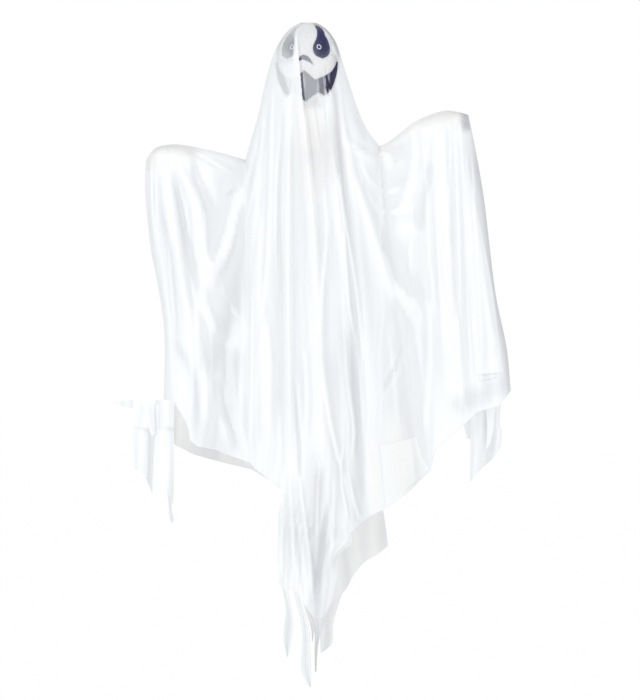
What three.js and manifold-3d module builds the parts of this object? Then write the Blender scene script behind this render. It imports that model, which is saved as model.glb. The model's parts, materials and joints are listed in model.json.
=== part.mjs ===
// Hanging ghost decoration: a moulded egg-shaped head with a printed face, a shoulder yoke with two
// posable forearms and hands, and a sheer cloth gown draped over all of it.
// Units are millimetres and degrees. +X is to the right of the picture, the ghost faces -Y, +Z is up.
// The origin is the bearing point of the hanging eye in the crown.
import * as THREE from "three";
import { mergeVertices } from "three/addons/utils/BufferGeometryUtils.js";
import Module from "manifold-3d";

const wasm = await Module();
wasm.setup();

// Fits
const SEAT_GAP = 0.3;
const RUNNING_GAP = 0.4;

// Head
const HEAD_WIDTH = 114;
const HEAD_HEIGHT = 156;
const HEAD_WALL = 2;
const HEAD_TURN = -7;
const CROWN_ABOVE_EYE = 3;
const CROWN_WELL_RADIUS = 11;
const CROWN_WELL_DEPTH = 17;
const CROWN_BUSH_FLANGE = 2;
const NECK_OPENING_RADIUS = 22;
const NECK_PLUG_HEIGHT = 9;
const NECK_PLUG_FLANGE = 2.5;
const HEAD_SEGMENTS = 36;

// Printed face film. Outlines are [degrees round the head from its middle line, percent of its height down]
const FILM_THICKNESS = 0.5;
const FILM_GAP = 0.4;
const EYE_INNER_EDGE = [[34, 42.3], [20, 37.8], [17, 29.5], [29, 16.7], [42, 3.2]];
const EYE_OUTER_EDGE = [[36, 42.3], [49, 37.8], [56, 29.5], [56, 16.7], [46, 3.2]];
const NOSE_TOP_EDGE = [[-15, 47.1], [-4, 38.5], [8, 41], [17, 49.4]];
const NOSE_UNDER_EDGE = [[-15, 47.8], [-4, 43.9], [7.5, 46.2], [16.5, 50]];
const MOUTH_UPPER_EDGE = [[74, 44.9], [58, 56.4], [40, 62.8], [21, 67.3], [0, 56.4]];
const MOUTH_LOWER_EDGE = [[77, 46.2], [68, 78.2], [55, 85.3], [31, 81.4], [0, 92.3]];

// Hanger rod and what it clamps
const ROD_RADIUS = 1.5;
const EYE_INNER_RADIUS = 4;
const COLLAR_RADIUS = 8;
const COLLAR_HEIGHT = 7;
const NECK_TUBE_RADIUS = 27;
const CHEST_LENGTH = 62;
const WASHER_RADIUS = 11;
const WASHER_THICKNESS = 1.5;
const ROD_NUT_FLATS = 8;
const ROD_NUT_HEIGHT = 5;
const ROD_TAIL = 4;

// Shoulder yoke
const ELBOW_HALF_SPAN = 109;
const ELBOW_BELOW_EYE = 257;
const YOKE_RISE = 16;
const YOKE_DEPTH = 16;
const YOKE_HUB_HEIGHT = 22;
const YOKE_HUB_HALF_WIDTH = 20;
const TONGUE_THICKNESS = 6;
const KNUCKLE_RADIUS = 8;

// Elbow screw
const SCREW_RADIUS = 2;
const SCREW_HEAD_RADIUS = 4;
const SCREW_HEAD_HEIGHT = 2.6;
const SCREW_TAIL = 1.2;
const ELBOW_NUT_FLATS = 7;
const ELBOW_NUT_HEIGHT = 3.2;

// Forearms
const CHEEK_THICKNESS = 3.5;
const LINK_RADIUS = 4;
const FOREARM_LENGTH = 118;
const FORK_LENGTH = 22;
const SLEEVE_RADIUS = 8.5;
const FOREARM_RAISE = { left: 12.6, right: 37 };

// Hands
const HAND_RAISE = { left: 4, right: 20 };
const FINGER_CURL = { left: 125, right: 52 };
const PALM_LENGTH = 40;
const PALM_WIDTH = 42;
const PALM_THICKNESS = 18;
const FINGER_RADIUS = 5;
const FINGER_LENGTH = 52;
const FINGER_PITCH = 10;
const THUMB_LENGTH = 32;
const THUMB_SPREAD = 22;
const HAND_SOCKET = 20;
const WRIST_LENGTH = 14;
const FINGER_SHARES = [0.84, 1, 0.95, 0.76];
const THUMB_START = 10;
const THUMB_CURL = 55;

// Gown cloth
const CLOTH_THICKNESS = 0.9;
const HEAD_SLACK = 2.4;
const ARM_SLACK = 4;
const HAND_SLACK = 3;
const EYELET_RADIUS = 7.5;
const EYELET_SINK = 2.4;
const SEAM_PULL = 0.3;
const FRONT_FLARE = 0.1;
const BACK_FLARE = 0.07;
const BODY_FLARE = 0.13;
const ELBOW_HALF_DEPTH = 17;
const HAND_HALF_DEPTH = 30;
const ROLL_HEIGHT = 15;
const EDGE_ROLL = 30;
const WING_SWELL = 36;
const SWELL_DROP = 260;
const MIDDLE_SWELL_DELAY = 60;

// Gown outline: drops are below the cloth's crown, and x runs outwards from the middle on either side. A notch is
// where the neck's cloth meets a wing. The sling is slack cloth that swings clear of the cheek, and it comes and
// goes between these shares of the head's height.
const NOTCH_ABOVE_ELBOW = { left: 12.3, right: 37.3 };
const NECK_FLARE = { left: 0.29, right: 0.31 };
const NECK_SPREAD = { left: 0, right: 20 };
const NECK_SLING = { left: 5, right: 0 };
const SLING_RISE = [0.15, 0.45];
const SLING_FALL = [0.6, 1.15];
const EDGE_SWAY = {
  left: [[2, 45], [-8, 156], [-22, 230], [-33, 310], [-32, 447]],
  right: [[13, 62], [28, 149], [50, 327], [70, 426], [77, 500]],
};
const FRONT_HEM = {
  left: [[105, 799], [160, 783], [203, 766], [220, 737], [238, 700]],
  right: [[137, 883], [182, 853], [221, 815], [231, 776], [280, 733], [307, 708], [344, 698]],
};
const BACK_HEM = {
  left: [[105, 815], [149, 804], [207, 788], [243, 770], [257, 730]],
  right: [[137, 884], [200, 850], [262, 790], [330, 715]],
};
const CENTRE_HEM = {
  front: [[-105, 799], [-84, 818], [-45, 850], [16, 880], [77, 925], [106, 898], [137, 883]],
  back: [[-105, 815], [-60, 842], [-15, 872], [60, 884], [137, 884]],
};

// Lengths of cloth that hang on from the hem, each between two side curves of [x, drop] points. depth is how far
// its foot hangs from the middle plane, belly how much lower the foot is in its middle than at its sides.
const FRONT_TONGUE = {
  from: 4, to: 12, rows: 7, depth: 92, belly: 62, pleats: 2, pleatDepth: 7,
  left: [[-51, 930], [-54, 1012]],
  right: [[81, 944], [62, 956], [49, 1024]],
};
const BACK_TONGUE = {
  from: 5, to: 12, rows: 6, depth: 40, belly: 24, pleats: 2, pleatDepth: 6,
  left: [[0, 950], [12, 1045]],
  right: [[142, 920], [147, 954]],
};
const LEFT_FLAP = {
  from: 6, to: 12, rows: 5, depth: 22, belly: 0, pleats: 1, pleatDepth: 3,
  left: [[-310, 688], [-355, 692], [-327, 700], [-314, 708], [-316, 737]],
  right: [[-232, 744], [-243, 752]],
};
const LEFT_TAIL = {
  from: 6, to: 12, rows: 9, depth: 6, belly: 0, pleats: 2, pleatDepth: 5,
  left: [[-300, 700], [-316, 745], [-316, 812], [-284, 850], [-262, 893], [-250, 911]],
  right: [[-245, 800], [-246, 870], [-243, 908]],
};
const RIGHT_TAIL = {
  from: 6, to: 8, rows: 7, depth: 14, belly: 0, pleats: 1, pleatDepth: 5,
  left: [[295, 735], [293, 770], [293, 837]],
  right: [[348, 732], [349, 773], [331, 806], [305, 822], [297, 837]],
};
const STREAMER = { rows: 4, belly: 0, pleats: 1, pleatDepth: 0 };
const FRONT_STREAMERS = [
  { ...STREAMER, from: 1, to: 2, depth: 80, left: [[-44, 1100], [-39, 1153]], right: [[-27, 1100], [-36, 1151]] },
  { ...STREAMER, from: 3, to: 4, depth: 88, left: [[-12, 1130], [3, 1206]], right: [[3, 1130], [6, 1202]] },
  { ...STREAMER, from: 4, to: 5, depth: 96, left: [[1, 1095], [6, 1120]], right: [[8, 1095], [8, 1118]] },
  { ...STREAMER, from: 5, to: 6, depth: 104, left: [[11, 1130], [12, 1177]], right: [[22, 1120], [14, 1175]] },
];
const BACK_STREAMERS = [
  { ...STREAMER, from: 0, to: 1, depth: 34, left: [[22, 1095], [28, 1150]], right: [[46, 1095], [42, 1136]] },
];

// Gown grid
const NECK_ROWS = 7;
const CROWN_ROWS = 5;
const ROLL_ROWS = 3;
const HANG_ROWS = 12;
const ROLL_SHARE = 0.024;
const FRONT_COLUMNS = 16;
const BACK_COLUMNS = 12;
const WING_COLUMNS = 12;

// Main folds: a path of [x, drop] points, how far the fold stands out, and its half width
const FRONT_FOLDS = [
  { path: [[-35, 130], [-35, 430], [-33, 840]], rise: 17, width: 12 },
  { path: [[-65, 129], [-84, 256], [-91, 420], [-84, 700]], rise: 9, width: 11 },
  { path: [[-10, 150], [9, 329], [18, 510], [25, 801]], rise: 12, width: 12 },
  { path: [[34, 150], [54, 329], [69, 511], [80, 800]], rise: 10, width: 12 },
  { path: [[56, 150], [80, 310], [98, 474], [113, 740]], rise: 5, width: 11 },
  { path: [[-52, 350], [-54, 760]], rise: -9, width: 10 },
  { path: [[-114, 262], [-127, 333], [-142, 402], [-173, 464]], rise: 18, width: 16 },
  { path: [[-233, 260], [-214, 297], [-200, 328], [-191, 375], [-188, 419], [-175, 468]], rise: 14, width: 12 },
  { path: [[-208, 470], [-172, 552], [-142, 588], [-122, 520]], rise: 11, width: 18 },
  { path: [[-256, 266], [-245, 342], [-228, 464], [-212, 560], [-208, 690]], rise: 11, width: 11 },
  { path: [[-269, 328], [-254, 402], [-243, 500], [-235, 650]], rise: -9, width: 9 },
  { path: [[85, 286], [109, 351], [138, 438], [184, 515], [207, 515]], rise: 16, width: 16 },
  { path: [[76, 222], [110, 248], [158, 250]], rise: 12, width: 12 },
  { path: [[222, 249], [211, 315], [196, 386]], rise: -11, width: 13 },
  { path: [[240, 202], [254, 420], [267, 693]], rise: 10, width: 12 },
  { path: [[280, 202], [297, 438], [312, 693]], rise: 9, width: 11 },
  { path: [[49, 329], [90, 520], [118, 660], [130, 760]], rise: 10, width: 16 },
];
const BACK_FOLD_COUNT = 5;
const BACK_FOLD_RISE = 12;
const BACK_FOLD_WIDTH = 13;

const INK_NAVY = 0x23232f;
const ghost = new THREE.Group();

const radians = THREE.MathUtils.degToRad;
const lerp = THREE.MathUtils.lerp;

const shellPlastic = () => new THREE.MeshStandardMaterial({ color: 0xf2f2ee, roughness: 0.28, metalness: 0 });
const whitePlastic = () => new THREE.MeshStandardMaterial({ color: 0xe9e7e0, roughness: 0.5, metalness: 0 });
const paleFoam = () => new THREE.MeshStandardMaterial({ color: 0xeadfce, roughness: 0.9, metalness: 0 });
const zincSteel = () => new THREE.MeshStandardMaterial({ color: 0xb4b7ba, roughness: 0.35, metalness: 1 });
const printFilm = () => new THREE.MeshStandardMaterial({ color: INK_NAVY, roughness: 0.4, metalness: 0 });
const sheerCloth = () => new THREE.MeshStandardMaterial({ color: 0xf4f5f8, roughness: 0.85, metalness: 0 });

function addMesh(parent, name, geometry, material) {
  const mesh = new THREE.Mesh(geometry, material);
  mesh.name = name;
  parent.add(mesh);
  return mesh;
}

// A closed geometry as a solid for cutting and joining
function solid(geometry) {
  const bare = geometry.clone();
  bare.deleteAttribute("normal");
  bare.deleteAttribute("uv");
  const merged = mergeVertices(bare, 1e-3);
  return new wasm.Manifold(
    new wasm.Mesh({
      numProp: 3,
      vertProperties: new Float32Array(merged.attributes.position.array),
      triVerts: new Uint32Array(merged.index.array),
    }),
  );
}

function geometryOf(body) {
  const made = body.getMesh();
  const geometry = new THREE.BufferGeometry();
  geometry.setAttribute("position", new THREE.BufferAttribute(Float32Array.from(made.vertProperties), 3));
  geometry.setIndex(new THREE.BufferAttribute(Uint32Array.from(made.triVerts), 1));
  geometry.computeVertexNormals();
  return geometry;
}

// A turned piece about the Z axis from a closed loop of [radius, height] points
function turned(loop, segments) {
  const points = [...loop, loop[0]].map(([radius, height]) => new THREE.Vector2(radius, height));
  return new THREE.LatheGeometry(points, segments).rotateX(Math.PI / 2);
}

// A plain disc or tube on the Z axis
function tube(outer, inner, bottom, top, segments) {
  if (inner > 0) {
    return turned([[inner, bottom], [outer, bottom], [outer, top], [inner, top]], segments);
  }
  return new THREE.CylinderGeometry(outer, outer, top - bottom, segments)
    .rotateX(Math.PI / 2)
    .translate(0, 0, (top + bottom) / 2);
}

// A hexagon nut on the Z axis with a round bore
function hexNut(flats, bore, bottom, top) {
  const corner = flats / Math.sqrt(3);
  return geometryOf(
    solid(tube(corner, 0, bottom, top, 6)).subtract(solid(tube(bore, 0, bottom - 1, top + 1, 16))),
  );
}

// The head's outer surface: an ellipse turned about Z, its crown at CROWN_ABOVE_EYE
const headHalfHeight = HEAD_HEIGHT / 2;
const headMiddle = CROWN_ABOVE_EYE - headHalfHeight;

function headRadius(drop, offset) {
  const share = (headHalfHeight - drop) / (headHalfHeight + offset);
  return (HEAD_WIDTH / 2 + offset) * Math.sqrt(Math.max(0, 1 - share * share));
}

function headDropAt(radius, offset) {
  const share = radius / (HEAD_WIDTH / 2 + offset);
  return headHalfHeight - (headHalfHeight + offset) * Math.sqrt(1 - share * share);
}

const crownLip = CROWN_ABOVE_EYE - headDropAt(CROWN_WELL_RADIUS, 0);
const neckRim = CROWN_ABOVE_EYE - (HEAD_HEIGHT - headDropAt(NECK_OPENING_RADIUS, 0));
const wellFloor = CROWN_ABOVE_EYE - CROWN_WELL_DEPTH;
const bushRadius = ROD_RADIUS + RUNNING_GAP + CROWN_BUSH_FLANGE;

// One half of the head: the whole moulding is turned, then split at the parting plane Y = 0
function headShell(facing) {
  const outer = [];
  const inner = [];
  const from = Math.acos((crownLip - headMiddle) / headHalfHeight);
  const to = Math.acos((neckRim - headMiddle) / headHalfHeight);
  const rows = 13;
  for (let i = 0; i <= rows; i++) {
    const angle = lerp(from, to, i / rows);
    outer.push([(HEAD_WIDTH / 2) * Math.sin(angle), headMiddle + headHalfHeight * Math.cos(angle)]);
  }
  const innerRows = 4;
  const wellOuter = CROWN_WELL_RADIUS + HEAD_WALL;
  const innerFrom = Math.asin(wellOuter / (HEAD_WIDTH / 2 - HEAD_WALL));
  for (let i = 0; i <= innerRows; i++) {
    const angle = lerp(innerFrom, to, i / innerRows);
    inner.push([
      (HEAD_WIDTH / 2 - HEAD_WALL) * Math.sin(angle),
      headMiddle + (headHalfHeight - HEAD_WALL) * Math.cos(angle),
    ]);
  }
  const hole = bushRadius + SEAT_GAP;
  const loop = [
    [hole, wellFloor],
    [CROWN_WELL_RADIUS, wellFloor],
    ...outer,
    ...inner.reverse(),
    [wellOuter, wellFloor - HEAD_WALL],
    [hole, wellFloor - HEAD_WALL],
  ];
  const whole = solid(turned(loop.reverse(), HEAD_SEGMENTS));
  const size = 2 * HEAD_HEIGHT;
  const half = new THREE.BoxGeometry(size, size, size).translate(
    0,
    facing * (size / 2 + SEAT_GAP / 2),
    headMiddle,
  );
  return geometryOf(whole.intersect(solid(half)));
}

// The angle from the crown, seen from the head's middle, at a percentage of the way down the head
const tiltAt = (percent) => Math.acos(1 - (2 * percent) / 100);

// A band of film on the head between two edges, each an edge function of t giving [angle, percent down]
function filmBand(edgeA, edgeB, steps, across) {
  const at = (t, u, offset) => {
    const a = edgeA(t);
    const b = edgeB(t);
    const angle = radians(lerp(a[0], b[0], u) + HEAD_TURN);
    const tilt = lerp(tiltAt(a[1]), tiltAt(b[1]), u);
    const drop = headHalfHeight * (1 - Math.cos(tilt));
    const radius = headRadius(drop, offset);
    return [radius * Math.sin(angle), -radius * Math.cos(angle), CROWN_ABOVE_EYE - drop];
  };
  const film = new Sheet();
  for (let i = 0; i < steps; i++) {
    for (let k = 0; k < across; k++) {
      film.quad(
        "film",
        at(i / steps, k / across, FILM_GAP + FILM_THICKNESS),
        at((i + 1) / steps, k / across, FILM_GAP + FILM_THICKNESS),
        at((i + 1) / steps, (k + 1) / across, FILM_GAP + FILM_THICKNESS),
        at(i / steps, (k + 1) / across, FILM_GAP + FILM_THICKNESS),
      );
    }
  }
  return film.shells(FILM_THICKNESS, 0).get("film");
}

// A run of straight or smooth steps through [x, y] points, read at t from 0 to 1
function through(points, smooth) {
  const places = points.map(([x, y]) => new THREE.Vector3(x, y, 0));
  const curve = new THREE.CatmullRomCurve3(places, false, "centripetal");
  const spans = points.length - 1;
  return (t) => {
    if (smooth) {
      const place = curve.getPoint(t);
      return [place.x, place.y];
    }
    const along = Math.min(spans - 1e-9, Math.max(0, t * spans));
    const k = Math.floor(along);
    return [0, 1].map((n) => lerp(points[k][n], points[k + 1][n], along - k));
  };
}

// A sheet of cloth or film: four-sided faces that share their corners, each named for its panel
class Sheet {
  constructor() {
    this.points = [];
    this.faces = [];
    this.places = new Map();
  }

  corner([x, y, z]) {
    const key = [x, y, z].map((value) => Math.round(value * 1000)).join(" ");
    if (!this.places.has(key)) {
      this.places.set(key, this.points.length);
      this.points.push(new THREE.Vector3(x, y, z));
    }
    return this.places.get(key);
  }

  quad(panel, a, b, c, d) {
    const corners = [a, b, c, d].map((place) => this.corner(place));
    const ring = corners.filter((corner, i) => corner !== corners[(i + 3) % 4]);
    for (let i = 1; i + 1 < ring.length; i++) {
      this.faces.push({ panel, ring: [ring[0], ring[i], ring[i + 1]] });
    }
  }

  normals() {
    const sums = this.points.map(() => new THREE.Vector3());
    for (const { ring } of this.faces) {
      const [a, b, c] = ring.map((corner) => this.points[corner]);
      const normal = new THREE.Vector3().crossVectors(b.clone().sub(a), c.clone().sub(a));
      ring.forEach((corner) => sums[corner].add(normal));
    }
    return sums.map((sum) => sum.normalize());
  }

  // Each panel as a closed shell: the faces, the same faces moved inwards, and a rim along every edge.
  // Its edge is drawn in a little, so that neighbouring panels don't touch.
  shells(thickness, pull) {
    const normals = this.normals();
    const panels = new Map();
    for (const panel of new Set(this.faces.map((face) => face.panel))) {
      const faces = this.faces.filter((face) => face.panel === panel).map((face) => face.ring);
      const edges = new Map();
      const beside = new Map();
      for (const ring of faces) {
        ring.forEach((corner, i) => {
          const next = ring[(i + 1) % 3];
          edges.set(corner + " " + next, [corner, next]);
          beside.set(corner, [...(beside.get(corner) ?? []), next]);
          beside.set(next, [...(beside.get(next) ?? []), corner]);
        });
      }
      const rim = [...edges.values()].filter(([a, b]) => !edges.has(b + " " + a));
      const onRim = new Set(rim.flat());
      const order = new Map([...beside.keys()].map((corner, i) => [corner, i]));
      const outside = [];
      const inside = [];
      for (const [corner, near] of beside) {
        const place = this.points[corner].clone();
        if (onRim.has(corner) && pull > 0) {
          const inner = near.filter((other) => !onRim.has(other));
          const target = new THREE.Vector3();
          const goals = inner.length ? inner : near;
          goals.forEach((other) => target.addScaledVector(this.points[other], 1 / goals.length));
          place.addScaledVector(target.sub(place).normalize(), pull);
        }
        outside.push(...place.toArray());
        inside.push(...place.addScaledVector(normals[corner], -thickness).toArray());
      }
      const count = order.size;
      const index = [];
      for (const ring of faces) {
        const [a, b, c] = ring.map((corner) => order.get(corner));
        index.push(a, b, c, count + a, count + c, count + b);
      }
      for (const [from, to] of rim) {
        const a = order.get(from);
        const b = order.get(to);
        index.push(b, a, count + a, b, count + a, count + b);
      }
      const geometry = new THREE.BufferGeometry();
      geometry.setAttribute("position", new THREE.Float32BufferAttribute([...outside, ...inside], 3));
      geometry.setIndex(index);
      geometry.computeVertexNormals();
      panels.set(panel, geometry);
    }
    return panels;
  }
}

// The head turns on the rod; its rest pose is turned as in the picture
const head = new THREE.Group();
ghost.add(head);

function buildHead() {
  addMesh(head, "head_front_shell", headShell(-1), shellPlastic());
  addMesh(head, "head_rear_shell", headShell(1), shellPlastic());
  const bore = ROD_RADIUS + RUNNING_GAP;
  const underFloor = wellFloor - HEAD_WALL - SEAT_GAP;
  const bush = turned(
    [
      [bore, underFloor - CROWN_BUSH_FLANGE],
      [bushRadius + CROWN_BUSH_FLANGE, underFloor - CROWN_BUSH_FLANGE],
      [bushRadius + CROWN_BUSH_FLANGE, underFloor],
      [bushRadius, underFloor],
      [bushRadius, wellFloor],
      [bore, wellFloor],
    ],
    16,
  );
  addMesh(head, "crown_bush", bush, whitePlastic());
  const flangeTop = neckRim - SEAT_GAP;
  const bodyRadius = NECK_OPENING_RADIUS - HEAD_WALL - 2 * SEAT_GAP;
  const plug = turned(
    [
      [bore, flangeTop - NECK_PLUG_FLANGE],
      [NECK_OPENING_RADIUS + HEAD_WALL, flangeTop - NECK_PLUG_FLANGE],
      [NECK_OPENING_RADIUS + HEAD_WALL, flangeTop],
      [bodyRadius, flangeTop],
      [bodyRadius - 1, flangeTop + NECK_PLUG_HEIGHT],
      [bore, flangeTop + NECK_PLUG_HEIGHT],
    ],
    24,
  );
  addMesh(head, "neck_plug", plug, whitePlastic());
}

// Two tear-drop eyes, a bent nose and a jagged grin, laid on the front shell as thin film
function buildFace() {
  const mirrored = (outline, side) => outline.map(([angle, drop]) => [side * angle, drop]);
  for (const [name, side] of [["left", -1], ["right", 1]]) {
    const inner = through(mirrored(EYE_INNER_EDGE, side), true);
    const outer = through(mirrored(EYE_OUTER_EDGE, side), true);
    const edges = side > 0 ? [outer, inner] : [inner, outer];
    addMesh(head, name + "_eye_film", filmBand(...edges, 14, 4), printFilm());
  }
  const nose = filmBand(through(NOSE_UNDER_EDGE, true), through(NOSE_TOP_EDGE, true), 12, 2);
  addMesh(head, "nose_film", nose, printFilm());
  const across = (outline) => through([...mirrored(outline, -1), ...outline.slice(0, -1).reverse()], false);
  const mouth = filmBand(across(MOUTH_LOWER_EDGE), across(MOUTH_UPPER_EDGE), 32, 5);
  addMesh(head, "mouth_film", mouth, printFilm());
}

// The stack on the hanger rod, from the head's plug down: collar, neck tube, yoke hub, chest tube, washer, nut
const frame = new THREE.Group();
ghost.add(frame);
const collarTop = neckRim - SEAT_GAP - NECK_PLUG_FLANGE - SEAT_GAP;
const collarBottom = collarTop - COLLAR_HEIGHT;
const neckTop = collarTop - RUNNING_GAP;
const hubMiddle = -ELBOW_BELOW_EYE + YOKE_RISE;
const hubTop = hubMiddle + YOKE_HUB_HEIGHT / 2;
const hubBottom = hubMiddle - YOKE_HUB_HEIGHT / 2;
const chestTop = hubBottom - SEAT_GAP;
const chestBottom = chestTop - CHEST_LENGTH;
const washerTop = chestBottom - SEAT_GAP;
const nutTop = washerTop - WASHER_THICKNESS - SEAT_GAP;
const rodEnd = nutTop - ROD_NUT_HEIGHT - ROD_TAIL;
const rodBore = ROD_RADIUS + SEAT_GAP;

function buildFrame() {
  const ringRadius = EYE_INNER_RADIUS + ROD_RADIUS;
  const ring = new THREE.TorusGeometry(ringRadius, ROD_RADIUS, 8, 20)
    .rotateX(Math.PI / 2)
    .translate(0, 0, -EYE_INNER_RADIUS);
  const shankTop = -EYE_INNER_RADIUS - ringRadius;
  const rod = solid(ring).add(solid(tube(ROD_RADIUS, 0, rodEnd, shankTop, 12)));
  addMesh(frame, "hanger_rod", geometryOf(rod), zincSteel());
  const collar = turned(
    [
      [rodBore, collarBottom],
      [COLLAR_RADIUS, collarBottom],
      [COLLAR_RADIUS, collarTop],
      [rodBore, collarTop],
    ],
    24,
  );
  addMesh(frame, "stop_collar", collar, zincSteel());
  const counterbore = COLLAR_RADIUS + SEAT_GAP;
  const neck = turned(
    [
      [rodBore, hubTop + SEAT_GAP],
      [NECK_TUBE_RADIUS, hubTop + SEAT_GAP],
      [NECK_TUBE_RADIUS, neckTop - 2],
      [NECK_TUBE_RADIUS - 2, neckTop],
      [counterbore, neckTop],
      [counterbore, collarBottom - SEAT_GAP],
      [rodBore, collarBottom - SEAT_GAP],
    ],
    22,
  );
  addMesh(frame, "neck_tube", neck, paleFoam());
  const chest = turned(
    [
      [rodBore, chestBottom],
      [NECK_TUBE_RADIUS - 6, chestBottom],
      [NECK_TUBE_RADIUS - 3, chestBottom + 3],
      [NECK_TUBE_RADIUS, chestTop],
      [rodBore, chestTop],
    ],
    22,
  );
  addMesh(frame, "chest_tube", chest, paleFoam());
  const washer = turned(
    [
      [rodBore, washerTop - WASHER_THICKNESS],
      [WASHER_RADIUS, washerTop - WASHER_THICKNESS],
      [WASHER_RADIUS, washerTop],
      [rodBore, washerTop],
    ],
    24,
  );
  addMesh(frame, "rod_washer", washer, zincSteel());
  addMesh(frame, "rod_nut", hexNut(ROD_NUT_FLATS, rodBore, nutTop - ROD_NUT_HEIGHT, nutTop), zincSteel());
}

// The yoke is a flat moulding like a coat hanger: a hub on the rod, two sloping arms, a thin tongue at each end
function buildYoke() {
  const half = (side) => {
    const neckX = YOKE_HUB_HALF_WIDTH + 12;
    const armHalf = 6;
    const slope = (x) => hubMiddle - (YOKE_RISE * (x - neckX)) / (ELBOW_HALF_SPAN - neckX);
    const waist = ELBOW_HALF_SPAN - KNUCKLE_RADIUS - 6;
    const outline = new THREE.Shape();
    outline.moveTo(0, hubBottom);
    outline.lineTo(side * YOKE_HUB_HALF_WIDTH, hubBottom);
    outline.quadraticCurveTo(side * (neckX - 4), hubBottom, side * neckX, slope(neckX) - armHalf);
    outline.lineTo(side * waist, slope(waist) - armHalf);
    outline.lineTo(side * waist, slope(waist) + armHalf);
    outline.lineTo(side * neckX, slope(neckX) + armHalf);
    outline.quadraticCurveTo(side * (neckX - 4), hubTop, side * YOKE_HUB_HALF_WIDTH, hubTop);
    outline.lineTo(0, hubTop);
    const arm = new THREE.ExtrudeGeometry(outline, { depth: YOKE_DEPTH, bevelEnabled: false, curveSegments: 5 })
      .translate(0, 0, -YOKE_DEPTH / 2)
      .rotateX(Math.PI / 2);
    const tongueLength = ELBOW_HALF_SPAN - waist + 6;
    const tongue = new THREE.BoxGeometry(tongueLength, TONGUE_THICKNESS, 2 * armHalf)
      .translate(side * (ELBOW_HALF_SPAN - tongueLength / 2), 0, slope(waist) - 1);
    const eye = new THREE.CylinderGeometry(KNUCKLE_RADIUS, KNUCKLE_RADIUS, TONGUE_THICKNESS, 20)
      .translate(side * ELBOW_HALF_SPAN, 0, -ELBOW_BELOW_EYE);
    return solid(arm).add(solid(tongue)).add(solid(eye));
  };
  const reach = 4 * YOKE_DEPTH;
  const screwHole = (side) =>
    solid(
      new THREE.CylinderGeometry(SCREW_RADIUS + SEAT_GAP, SCREW_RADIUS + SEAT_GAP, reach, 16)
        .translate(side * ELBOW_HALF_SPAN, 0, -ELBOW_BELOW_EYE),
    );
  const rodHole = solid(tube(rodBore, 0, hubBottom - 1, hubTop + 1, 16));
  const yoke = half(-1).add(half(1)).subtract(rodHole).subtract(screwHole(-1)).subtract(screwHole(1));
  addMesh(frame, "shoulder_yoke", geometryOf(yoke), whitePlastic());
}

// Screw, cheeks and nut stack along Y at the elbow
const cheekInner = TONGUE_THICKNESS / 2 + SEAT_GAP;
const cheekOuter = cheekInner + CHEEK_THICKNESS;

function buildElbowScrew(name, side) {
  const headFace = -cheekOuter - SEAT_GAP;
  const nutFace = cheekOuter + SEAT_GAP;
  const shankEnd = nutFace + ELBOW_NUT_HEIGHT + SCREW_TAIL;
  const shank = new THREE.CylinderGeometry(SCREW_RADIUS, SCREW_RADIUS, shankEnd - headFace + 1, 16)
    .translate(0, (shankEnd + headFace - 1) / 2, 0);
  const cap = new THREE.CylinderGeometry(SCREW_HEAD_RADIUS, 0.7 * SCREW_HEAD_RADIUS, SCREW_HEAD_HEIGHT, 20)
    .translate(0, headFace - SCREW_HEAD_HEIGHT / 2, 0);
  const screw = addMesh(frame, name + "_elbow_screw", geometryOf(solid(shank).add(solid(cap))), zincSteel());
  const nut = hexNut(ELBOW_NUT_FLATS, SCREW_RADIUS + SEAT_GAP, 0, ELBOW_NUT_HEIGHT);
  nut.rotateX(-Math.PI / 2).translate(0, nutFace, 0);
  const nutMesh = addMesh(frame, name + "_elbow_nut", nut, zincSteel());
  for (const mesh of [screw, nutMesh]) mesh.position.set(side * ELBOW_HALF_SPAN, 0, -ELBOW_BELOW_EYE);
}

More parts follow.
